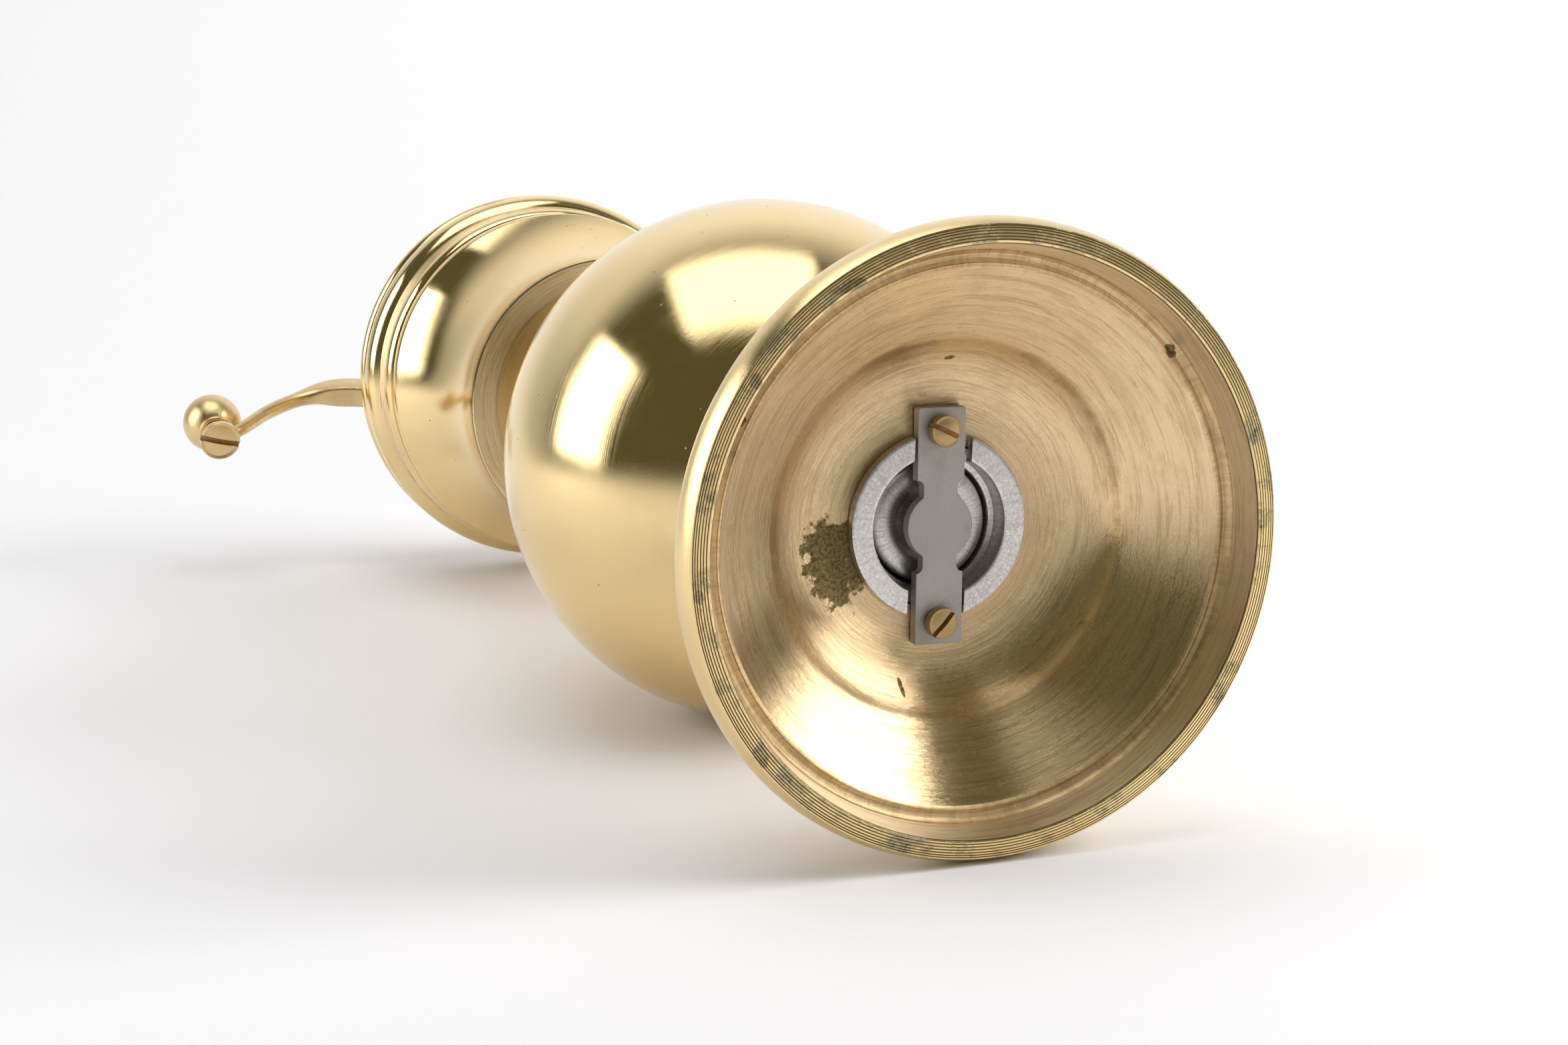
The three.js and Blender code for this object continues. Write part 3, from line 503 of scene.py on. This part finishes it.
def foot():
    groove_at = (40.95, 41.35, 41.75, 42.15, 42.5, 42.8)
    rim = [(40.5, 0.06), (40.62, 0.0)]
    for r in groove_at:
        rim += [(r - 0.09, 0.0), (r - 0.03, 0.1), (r + 0.03, 0.1), (r + 0.09, 0.0)]
    rim += [(42.98, 0.0), (43.03, 0.02)]
    roll = arc(37.38, 3.45, 6.62, -31.2, 0, 16) + arc(40.95, 3.45, 3.05, 0, 84, 20)
    step = [(40.6, 6.62), (39.8, 6.8)] + arc(38.9, 9.3, 1.9, -64, 70, 20) + [(39.45, 11.25)]
    bell = arc(40.4, 37.0, 22.9, 267, 180, 60, tall=24.6)
    bead = [(17.6, 37.3), (18.4, 37.5)] + arc(18.9, 39.8, 2.3, -90, 90, 24)
    collar = [(18.7, 42.3)] + line((18.5, 42.6), (18.5, 46.6), 6) + [(18.2, 47.0)]
    spigot = [(14.5, 47.0), (14.5, 56.0), (12.3, 56.0), (12.3, 51.2), (10, 51.2), (10, 33)]
    spigot += [(11.85, 33), (11.85, 20)]
    face = line((11.85, 20.0), (16.2, 20.0), 8)
    hollow = arc(16.2, 7.23, 12.77, 90, 37, 30)
    shoulder = [(26.6, 14.62), (26.85, 14.33), (27.15, 14.02), (27.5, 13.72)]
    cone = line((27.9, 13.38), (37.1, 5.66), 24)
    ledge = [(37.4, 5.38), (37.62, 5.36), (37.75, 5.6), (38.3, 5.85), (38.9, 5.7)]
    ledge += [(39.25, 5.3), (39.5, 4.95)]
    band = line((39.55, 4.7), (40.4, 0.25), 10) + [(40.5, 0.06)]
    mesh = revolve(
        "foot_turned",
        [(rim, 1), (roll, 0), (step, 0), (bell, 0), (bead, 0), (collar, 0), (spigot, 2), (face, 3),
         (hollow, 4), (shoulder, 4), (cone, 4), (ledge, 5), (band, 6)],
    )
    materials = [FOOT_POLISHED, RIM, TURNED, FACE, CONE, LEDGE, LIT_BAND]
    finish_piece("foot_turned", mesh, TO_MILL, "mill", "foot_base", materials, sharp=28)


# ---- Globe, head and lid ------------------------------------------------------------------------


def globe():
    radius, middle, neck, fillet = 43.7, 89.2, 24.4, 60.0
    rise = math.sqrt((radius + fillet) ** 2 - (neck + fillet) ** 2)
    tangent = math.degrees(math.atan2(rise, neck + fillet))
    collar = math.degrees(math.acos(18.5 / radius))
    inside = 40.9
    outer = [(14.75, 47.25), (18.3, 47.25)]
    outer += arc(0, middle, radius, -collar, tangent, 90)
    outer += arc(neck + fillet, middle + rise, fillet, 180 + tangent, 180, 32)
    outer += line((neck, middle + rise), (neck, 177.75), 8) + [(24.25, 177.85)]
    top = [(22.0, 177.85), (22.0, 184.0), (20.5, 184.0)]
    start = math.degrees(math.acos(20.5 / inside))
    end = -math.degrees(math.acos(14.75 / inside))
    inner = arc(0, middle, inside, start, end, 48)
    mesh = revolve("globe_turned", [(outer, 0), (top, 1), (inner, 1)])
    materials = [POLISHED, TURNED]
    finish_piece("globe_turned", mesh, TO_MILL, "mill", "globe_body", materials)


def head():
    base = [(22.25, 178.0)] + line((22.3, 178.0), (28.95, 178.0), 8)
    bell_angle = [180 - math.degrees(math.asin((z - 188.0) / 45.0)) for z in (178.5, 214.6)]
    bell = [(29.2, 178.12)] + arc(73.1, 188.0, 45.0, bell_angle[0], bell_angle[1], 60)
    beads = arc(34.0, 218.3, 2.9, -58, 52, 20) + [(36.0, 220.95), (36.05, 221.2)]
    beads += arc(34.9, 223.4, 2.85, -48, 50, 20) + [(36.75, 225.75)]
    groove = [(36.9, 226.2), (37.3, 227.0), (37.9, 227.6)]
    roll = arc(36.0, 231.8, 4.35, -62, 74, 30)
    mouth = [(36.9, 236.2), (35.9, 236.2), (35.5, 235.8), (35.5, 226.0)]
    mouth += line((35.5, 226.0), (32.4, 214.0), 6) + line((32.4, 214.0), (26.5, 200.0), 6)
    mouth += [(24.8, 188.0), (24.8, 184.0), (22.25, 184.0)]
    mesh = revolve("head_turned", [(base, 2), (bell, 0), (beads, 0), (groove, 1), (roll, 0), (mouth, 1)])
    materials = [POLISHED, TURNED, BASE]
    finish_piece("head_turned", mesh, TO_MILL, "mill", "head_cup", materials)


def lid():
    brim = [(33.2, 229.2), (33.4, 229.0), (35.0, 229.0), (35.2, 229.2), (35.2, 236.5), (39.4, 236.5)]
    edge = arc(38.4, 238.35, 1.8, -66, 88, 24)
    dome = [(37.6, 240.2), (37.1, 240.45)] + arc(36.7, 240.9, 0.5, -20, 100, 6)
    dome += arc(0, 49.6, 195.0, 79.2, 86.2, 24) + [(9.6, 244.6), (6.2, 244.6)]
    under = [(6.2, 242.2), (13.0, 242.2), (22.0, 241.0), (33.2, 238.4)]
    mesh = revolve("lid_turned", [(brim, 1), (edge, 0), (dome, 0), (under, 1)])
    finish_piece("lid_turned", mesh, TO_MILL, "mill", "lid_cover", [POLISHED, TURNED])


def knurl(low, high):
    """Fine teeth round the nut's grip, as a shape for revolve()."""

    def shape(r, z, angle):
        if r > 6.3 and low - 0.1 <= z <= high + 0.1:
            return r - 0.16 * (0.5 + 0.5 * math.cos(24 * angle)), z
        return r, z

    return shape


def fittings():
    bush = [(3.9, 236.6), (5.95, 236.6), (5.95, 244.85), (8.9, 244.85), (9.0, 244.95)]
    bush += arc(8.2, 245.25, 0.8, 0, 90, 8) + [(4.2, 245.95), (3.9, 245.7)]
    mesh = revolve("bush_turned", [(bush, 0)], 96)
    finish_piece("bush_turned", mesh, TO_MILL, "mill", "lid_bush", [TURNED])
    low = 255.1
    nut = [(2.65, low + 0.2), (2.85, low), (6.1, low)] + arc(6.1, low + 0.5, 0.5, -90, 0, 6)
    nut += arc(6.1, low + 2.9, 0.5, 0, 90, 6) + [(5.7, low + 3.5)]
    nut += arc(5.9, low + 4.0, 0.5, 240, 160, 6) + arc(0, low + 3.6, 5.0, 10, 90, 24)
    nut += [(0, low + 8.6)]
    inside = [(0, low + 7.2), (2.65, low + 7.2)]
    mesh = revolve("nut_turned", [(nut, 0), (inside, 1)], 96, shape=knurl(low + 0.5, low + 2.9))
    materials = [CAST_POLISHED, TURNED]
    finish_piece("nut_turned", mesh, TO_MILL, "nut", "adjusting_nut", materials)


# ---- Grinding parts -----------------------------------------------------------------------------


def ring():
    section = [(10.05, 18.55), (10.2, 18.28), (10.45, 18.2)] + line((10.6, 18.2), (13.1, 18.2), 6)
    section += [(13.28, 18.27), (13.35, 18.42), (13.35, 19.65), (13.25, 19.75), (11.6, 19.75), (11.6, 32.4)]
    section += [(10.1, 32.4)]
    bore = line((9.2, 30.4), (9.2, 22.1), 12) + [(9.3, 21.85), (9.5, 21.8), (10.05, 21.75)]
    mesh = revolve("ring_turned", [(section, 0), (bore, 1)], 160)
    place = Matrix.Rotation(STRAP_TURN + math.radians(2.1), 4, "Z")
    cut = softened(carve(mesh, block(40, 8.8, 17, 20.05, place)), 0.08, 2, 50)
    materials = [RING_STEEL, BURR_STEEL]
    finish_piece("ring_turned", cut, TO_MILL, "mill", "stator_ring", materials)


def burr():
    teeth, lean = 12, math.tan(math.radians(24)) / 8.75

    def shape(r, z, angle):
        deep = 0.0
        if r > 4.8 and z > 23.2:
            wave = math.cos(teeth * (angle - (z - 23.5) * lean))
            deep = 0.75 * max(0.0, wave) ** 3 * min(1.0, (z - 23.2) / 0.8)
        return r - deep, z

    front = [(2.62, 23.3), (2.9, 23.1), (4.4, 23.1), (4.75, 22.9), (5.1, 22.3), (5.5, 21.9), (6.0, 21.72)]
    front += [(6.6, 21.66), (7.2, 21.66), (7.8, 21.74), (8.3, 21.92), (8.58, 22.15), (8.7, 22.5)]
    side = line((8.74, 22.9), (8.75, 26.6), 8) + line((8.75, 26.6), (5.2, 33.4), 16)
    hub = [(4.7, 33.4), (4.7, 38.0), (3.6, 38.0)]
    mesh = revolve("burr_cut", [(front, 0), (side, 0), (hub, 0)], 144, shape=shape)
    finish_piece("burr_cut", mesh, TO_MILL, "grinder", "rotor_burr", [BURR_STEEL])


def strap():
    half_length, half_width, half_neck, disc, neck_at = 16.9, 3.6, 2.62, 4.95, 5.6
    notch = half_width - half_neck
    outline = []
    swing = math.acos(half_neck / disc)
    for side in (1, -1):
        end = arc(neck_at, -half_neck - notch, notch, 90, 0, 8)
        corner = 0.35
        end += arc(half_length - corner, -half_width + corner, corner, -90, 0, 5)
        end += arc(half_length - corner, half_width - corner, corner, 0, 90, 5)
        end += arc(neck_at, half_neck + notch, notch, 0, -90, 8)
        end += arc(0, 0, disc, 90 - math.degrees(swing), 90 + math.degrees(swing), 24)
        outline += [(side * x, side * y) for x, y in end]
    bm = bmesh.new()
    verts = []
    for p in outline:
        if not verts or math.dist(verts[-1].co.xy, p) > 1e-4:
            verts.append(bm.verts.new((*p, STRAP_BOTTOM)))
    face = bm.faces.new(verts)
    raised = bmesh.ops.extrude_face_region(bm, geom=[face])
    upper = [v for v in raised["geom"] if isinstance(v, bmesh.types.BMVert)]
    bmesh.ops.translate(bm, verts=upper, vec=(0, 0, STRAP_THICK))
    bmesh.ops.recalc_face_normals(bm, faces=bm.faces)
    mesh = bpy.data.meshes.new("strap_pressed")
    bm.to_mesh(mesh)
    bm.free()
    holes = [revolve("hole", [([(0, 17), (1.45, 17), (1.45, 21), (0, 21)], 0)], 32) for _ in (0, 1)]
    for hole, side in zip(holes, (1, -1)):
        hole.transform(Matrix.Translation((side * SCREW_REACH, 0, 0)))
    cut = softened(carve(mesh, *holes), 0.16, 3, 60)
    place = TO_MILL @ Matrix.Rotation(STRAP_TURN, 4, "Z")
    materials = [STRAP_STEEL]
    finish_piece("strap_pressed", cut, place, "mill", "bridge_strap", materials, 40)


def screw(name, node, slot, place, body, head, tall, shank, length, slot_width, turn, material):
    """A slotted screw with its head down. head and shank are radii, and turn is the slot's direction."""
    section = [(0, -tall - 0.12)] + arc(0, -tall + 3.0 * head, 3.0 * head + 0.12, -90, -74, 8)[1:]
    section += arc(head - 0.25, -tall + 0.3, 0.25, -60, 0, 5) + [(head, -0.12), (head - 0.12, 0)]
    section += [(shank, 0), (shank, length), (0, length)]
    mesh = revolve(name, [(section, 0)], 64)
    turned = Matrix.Rotation(math.radians(turn), 4, "Z")
    slot_cut = block(4 * head, slot_width, -tall - 1, -tall * 0.5, turned)
    cut = softened(carve(mesh, slot_cut), 0.05, 2, 50)
    across = turned.to_3x3() @ Vector((0, 1, 0))
    # Faces down inside the slot take the second material, whose dark colour is painted shade.
    for face in cut.polygons:
        in_slot = abs(face.center.dot(across)) < slot_width / 2 + 0.01
        if in_slot and -tall * 0.85 < face.center.z < -tall * 0.3:
            face.material_index = 1
    finish_piece(name, cut, place, body, node, [material, SLOT_SHADE_BRASS])


def screws():
    for i, (turn, slot_turn) in enumerate(((180, 34), (0, -39))):
        angle = STRAP_TURN + math.radians(turn)
        x, y = SCREW_REACH * math.cos(angle), SCREW_REACH * math.sin(angle)
        place = TO_MILL @ shifted(x, y, STRAP_BOTTOM - 0.25)
        names = f"strap_screw_{i + 1}", f"bridge_screw_{i + 1}", "screw_brass"
        screw(*names, place, "mill", 2.25, 1.6, 1.2, 8.4, 0.7, slot_turn, SCREW_BRASS)


# ---- Crank and knob -----------------------------------------------------------------------------

ARM_LINE = [(0, 0), (12, 0), (24, 0.1), (34, 1.2), (40.5, 4.6), (46.2, 6.6), (52.8, 5.2),
            (59.8, 1.3), (63.2, -1.8), (66, -4.4), (68.3, -5.9), (70.6, -6.3)]
LEAN = TO_MILL @ shifted(0, 0, HUB_Z) @ Matrix.Rotation(-ARM_LEAN, 4, "X")


def smooth_step(value, low, high):
    t = min(1.0, max(0.0, (value - low) / (high - low)))
    return t * t * (3 - 2 * t)


def arm_curve(steps):
    """Evenly spaced points on a smooth curve through ARM_LINE."""
    points = [ARM_LINE[0], *ARM_LINE, ARM_LINE[-1]]
    points[0] = (-ARM_LINE[1][0], 0)
    points[-1] = (2 * ARM_LINE[-1][0] - ARM_LINE[-2][0], 2 * ARM_LINE[-1][1] - ARM_LINE[-2][1])
    fine = []
    for k in range(1, len(points) - 2):
        knots = [0.0]
        for a, b in zip(points[k - 1:k + 2], points[k:k + 3]):
            knots.append(knots[-1] + math.sqrt(math.dist(a, b)))
        for i in range(40):
            t = knots[1] + (knots[2] - knots[1]) * i / 40
            level = [Vector(p) for p in points[k - 1:k + 3]]
            for depth in (1, 2, 3):
                new = []
                for m in range(4 - depth):
                    if depth < 3:
                        low, high = knots[m], knots[m + depth]
                    else:
                        low, high = knots[1], knots[2]
                    share = (t - low) / (high - low)
                    new.append(level[m] * (1 - share) + level[m + 1] * share)
                level = new
            fine.append(level[0])
    fine.append(Vector(points[-2]))
    lengths = [0.0]
    for a, b in zip(fine, fine[1:]):
        lengths.append(lengths[-1] + (b - a).length)
    even, k = [], 0
    for i in range(steps + 1):
        goal = lengths[-1] * i / steps
        while k < len(lengths) - 2 and lengths[k + 1] < goal:
            k += 1
        share = (goal - lengths[k]) / (lengths[k + 1] - lengths[k])
        even.append(fine[k].lerp(fine[k + 1], min(1.0, share)))
    return even


def arm():
    bm = bmesh.new()
    path = arm_curve(110)
    rings, around = [], 40
    for i, middle in enumerate(path):
        ahead = path[min(i + 1, len(path) - 1)] - path[max(i - 1, 0)]
        ahead.normalize()
        reach = middle[0]
        taper = 0.2 * smooth_step(reach, 54, 70)
        width = 2.6 - 0.95 * smooth_step(reach, 40, 52) - taper
        height = 2.5 + 0.55 * smooth_step(reach, 26, 42) - 1.45 * smooth_step(reach, 44, 54) - taper
        power = 0.34 + 0.66 * smooth_step(reach, 42, 54)
        ring = []
        for k in range(around):
            angle = 2 * math.pi * (k + 0.5) / around
            c, s = math.cos(angle), math.sin(angle)
            across = math.copysign(abs(c) ** power, c) * width
            rise = math.copysign(abs(s) ** power, s) * height
            ring.append(bm.verts.new((reach - ahead[1] * rise, across, middle[1] + ahead[0] * rise)))
        rings.append(ring)
    for low, high in zip(rings, rings[1:]):
        for k in range(around):
            j = (k + 1) % around
            bm.faces.new((low[k], low[j], high[j], high[k]))
    bm.faces.new(rings[0])
    bm.faces.new(rings[-1])
    bmesh.ops.recalc_face_normals(bm, faces=bm.faces)
    rod = bpy.data.meshes.new("arm_rod")
    bm.to_mesh(rod)
    bm.free()
    reach = Matrix.Translation((KNOB_REACH, 0, 0))
    above = revolve("clear", [([(0, -5.2), (4.25, -5.2), (4.25, 0), (0, 0)], 0)], 64)
    below = revolve("clear", [([(0, -12), (4.6, -12), (4.6, -7.4), (0, -7.4)], 0)], 64)
    inner = block(6.4, 16, -9, 9)
    for tool in (above, below):
        tool.transform(reach)
    rod = carve(rod, above, below, inner)
    finish_piece("crank_rod", rod, LEAN, "crank", "crank_arm", [CAST_POLISHED], 40)
    eye = [(1.7, -7.4), (3.1, -7.4)] + arc(2.7, -6.3, 0.85, -60, 60, 10, tall=1.05)
    eye += [(3.1, -5.2), (1.7, -5.2)]
    mesh = revolve("crank_eye", [(eye, 0)], 64)
    place = LEAN @ shifted(KNOB_REACH)
    finish_piece("crank_eye", mesh, place, "crank", None, [CAST_POLISHED])
    hub = [(0, 247.1)] + arc(7.0, 247.7, 0.6, -90, 0, 8) + arc(6.7, 252.7, 0.9, 0, 90, 10) + [(0, 253.6)]
    cut = carve(revolve("crank_hub", [(hub, 0)], 96), block(5.5, 5.5, 240, 260))
    mesh = softened(cut, 0.1, 2, 50)
    finish_piece("crank_hub", mesh, TO_MILL, "crank", None, [CAST_POLISHED])


def knob():
    base, radius, middle = -4.85, KNOB_RADIUS, 1.3
    section = [(1.55, base), (3.4, base)] + arc(3.5, base + 0.4, 0.4, -90, 0, 6)
    section += [(3.9, -4.1), (3.75, -3.95)]
    section += arc(0, middle, radius, -53.5, 90, 60)
    section += [(0, 2.4), (1.55, 2.4)]
    mesh = revolve("knob_ball", [(section, 0)], 96)
    place = LEAN @ shifted(KNOB_REACH)
    finish_piece("knob_ball", mesh, place, "knob_set", "knob", [CAST_POLISHED])
    place = LEAN @ shifted(KNOB_REACH, 0, -7.75)
    names = "knob_cap_screw", "knob_screw", "knob_brass"
    screw(*names, place, "knob_set", 4.3, 1.6, 1.3, 9.4, 1.2, 22, CAST_POLISHED)


foot()
globe()
head()
lid()
fittings()
ring()
burr()
strap()
screws()
arm()
knob()

PLAIN = {
    BAR_STEEL: (
        "spindle", "rotor_pin", "thrust_washer", "hub_washer", "spring_washer_low", "spring_washer_top",
    ),
    STRAP_STEEL: ("upper_bridge",),
    SPRING_STEEL: ("rotor_spring", "bridge_circlip"),
    TURNED: ("bush_nut",),
}
for material, names in PLAIN.items():
    for name in names:
        data = NODES[name].data
        for i in range(len(data.materials)):
            data.materials[i] = material


# ---- Camera, floor and light --------------------------------------------------------------------
# The mill lies on its side, seen from under its foot. Directions below are the camera's own, with X to
# the right, Y down and Z ahead. turn_in() gives the same direction in the frame of the model.

FOCAL = 53.57  # mm, on a 36 mm wide sensor
MILL_X = Vector((0.9348, -0.0594, 0.3503))
MILL_Y = Vector((0.0, 0.9859, 0.1672))
MILL_Z = Vector((-0.3553, -0.1563, 0.9216))
FOOT_CENTRE = Vector((28.39, 3.36, 311.6))
CRANK_AZIMUTH = math.radians(172)
ROW_X = MILL_X * math.cos(CRANK_AZIMUTH) + MILL_Y * math.sin(CRANK_AZIMUTH)
ROW_Y = MILL_Z.cross(ROW_X)


def turn_in(v):
    v = Vector(v)
    return Vector((v.dot(ROW_X), v.dot(ROW_Y), v.dot(MILL_Z)))


def place_in(v):
    return turn_in(Vector(v) - FOOT_CENTRE) * MM + Vector((AXIS_X * MM, 0, 0))


def facing(location, right, up):
    """A matrix at location, with these directions as its X and Y."""
    x = right.normalized()
    z = x.cross(up).normalized()
    y = z.cross(x)
    return Matrix.Translation(location) @ Matrix((x, y, z)).transposed().to_4x4()


camera = bpy.data.objects.new("camera", bpy.data.cameras.new("camera"))
bpy.context.scene.collection.objects.link(camera)
camera.data.lens = FOCAL
camera.data.sensor_width = 36
camera.data.clip_start = 0.01
camera.data.clip_end = 50
camera.matrix_world = facing(place_in((0, 0, 0)), turn_in((1, 0, 0)), turn_in((0, -1, 0)))
bpy.context.scene.camera = camera

PITCH = math.radians(9.84)  # how far the camera looks down
UP = Vector((0, -math.cos(PITCH), -math.sin(PITCH)))
AHEAD = Vector((0, -math.sin(PITCH), math.cos(PITCH)))
RIGHT = Vector((1, 0, 0))
lean = MILL_Z.dot(UP)
FLOOR = min(
    FOOT_CENTRE.dot(UP) + 3.45 * lean - (37.4 * math.sqrt(1 - lean * lean) + 6.6),
    FOOT_CENTRE.dot(UP) + 89.2 * lean - 43.7,
) - 0.02


def world_point(right, ahead, up):
    """A point from distances in mm: right and ahead of the camera, level, and above the floor."""
    return place_in(RIGHT * right + AHEAD * ahead + UP * (FLOOR + up))


def paper():
    n = Nodes("paper")
    where = n.tree.nodes.new("ShaderNodeTexCoord")
    grain = n.noise(900.0, where.outputs["Object"], detail=2)
    sheet = n.surface((0.80, 0.795, 0.80), 0.75, n.bump(grain, 0.00002), 0.0)
    sheet.inputs["Specular IOR Level"].default_value = 0.2
    # From behind, the sheet lets the camera look through, so that it hides nothing in other views.
    clear = n.tree.nodes.new("ShaderNodeBsdfTransparent")
    choose = n.tree.nodes.new("ShaderNodeMixShader")
    path = n.tree.nodes.new("ShaderNodeLightPath")
    side = n.tree.nodes.new("ShaderNodeNewGeometry")
    n.link(n.math("MULTIPLY", path.outputs["Is Camera Ray"], side.outputs["Backfacing"]), choose.inputs[0])
    n.link(sheet.outputs[0], choose.inputs[1])
    n.link(clear.outputs[0], choose.inputs[2])
    n.link(choose.outputs[0], n.out.inputs[0])
    return n.material


def backdrop():
    """A sheet of paper that lies under the mill and sweeps up behind it."""
    bend_at, bend, wall, half_width = 620.0, 420.0, 2200.0, 2200.0
    section = [(-1500.0, 0.0), (bend_at, 0.0)]
    section += [(bend_at + x, bend + y) for x, y in arc(0, 0, bend, -88, 0, 40)]
    section.append((bend_at + bend, wall))
    bm = bmesh.new()
    edges = []
    for right in (-half_width, half_width):
        edges.append([bm.verts.new(world_point(right, ahead, up)) for ahead, up in section])
    for i in range(len(section) - 1):
        bm.faces.new((edges[0][i], edges[1][i], edges[1][i + 1], edges[0][i + 1]))
    bm.normal_update()
    if next(iter(bm.faces)).normal.dot(turn_in(UP)) < 0:
        bmesh.ops.reverse_faces(bm, faces=bm.faces)
    mesh = bpy.data.meshes.new("backdrop")
    bm.to_mesh(mesh)
    bm.free()
    mesh.materials.append(paper())
    mesh.shade_smooth()
    sheet = bpy.data.objects.new("backdrop", mesh)
    bpy.context.scene.collection.objects.link(sheet)


def area_light(name, width, height, power):
    light = bpy.data.objects.new(name, bpy.data.lights.new(name, "AREA"))
    bpy.context.scene.collection.objects.link(light)
    light.data.shape = "RECTANGLE"
    light.data.size = width * MM
    light.data.size_y = height * MM
    light.data.energy = power
    return light


def softbox(name, toward, distance, width, height, power):
    """A square soft light, in a direction from the middle of the mill, in the camera's own directions."""
    light = area_light(name, width, height, power)
    aim = FOOT_CENTRE + MILL_Z * 110
    direction = Vector(toward).normalized()
    z = turn_in(direction)
    x = turn_in(AHEAD).cross(z).normalized()
    turn = Matrix((x, z.cross(x), z)).transposed().to_4x4()
    light.matrix_world = Matrix.Translation(place_in(aim + direction * distance)) @ turn


backdrop()
softbox("left_softbox", (-0.87, -0.29, -0.15), 620, 400, 300, 1.5)
softbox("top_softbox", (-0.11, -0.96, -0.25), 790, 650, 590, 2.5)
softbox("right_softbox", (0.88, -0.44, -0.14), 700, 400, 420, 4.3)
wall_light = area_light("wall_light", 2600, 500, 5.5)
wall_light.matrix_world = facing(world_point(-300, 500, 900), turn_in(RIGHT), turn_in(UP))

world = bpy.data.worlds.new("studio")
bpy.context.scene.world = world
world.use_nodes = True
tree = world.node_tree
tree.nodes.clear()
path = tree.nodes.new("ShaderNodeLightPath")


def sky(colour):
    node = tree.nodes.new("ShaderNodeBackground")
    node.inputs[0].default_value = (*colour, 1)
    return node.outputs[0]


def unless(kind, usual, other):
    """The usual sky, except that this kind of ray sees the other one instead."""
    choose = tree.nodes.new("ShaderNodeMixShader")
    tree.links.new(path.outputs[kind], choose.inputs[0])
    tree.links.new(usual, choose.inputs[1])
    tree.links.new(other, choose.inputs[2])
    return choose.outputs[0]


# The room is dark where metal mirrors it, softly bright where paper gathers it, and pale to look at.
room = unless("Is Diffuse Ray", sky((0.10, 0.094, 0.058)), sky((0.36, 0.36, 0.37)))
room = unless("Is Camera Ray", room, sky((0.86, 0.86, 0.86)))
tree.links.new(room, tree.nodes.new("ShaderNodeOutputWorld").inputs[0])
bpy.context.scene.view_settings.view_transform = "Standard"
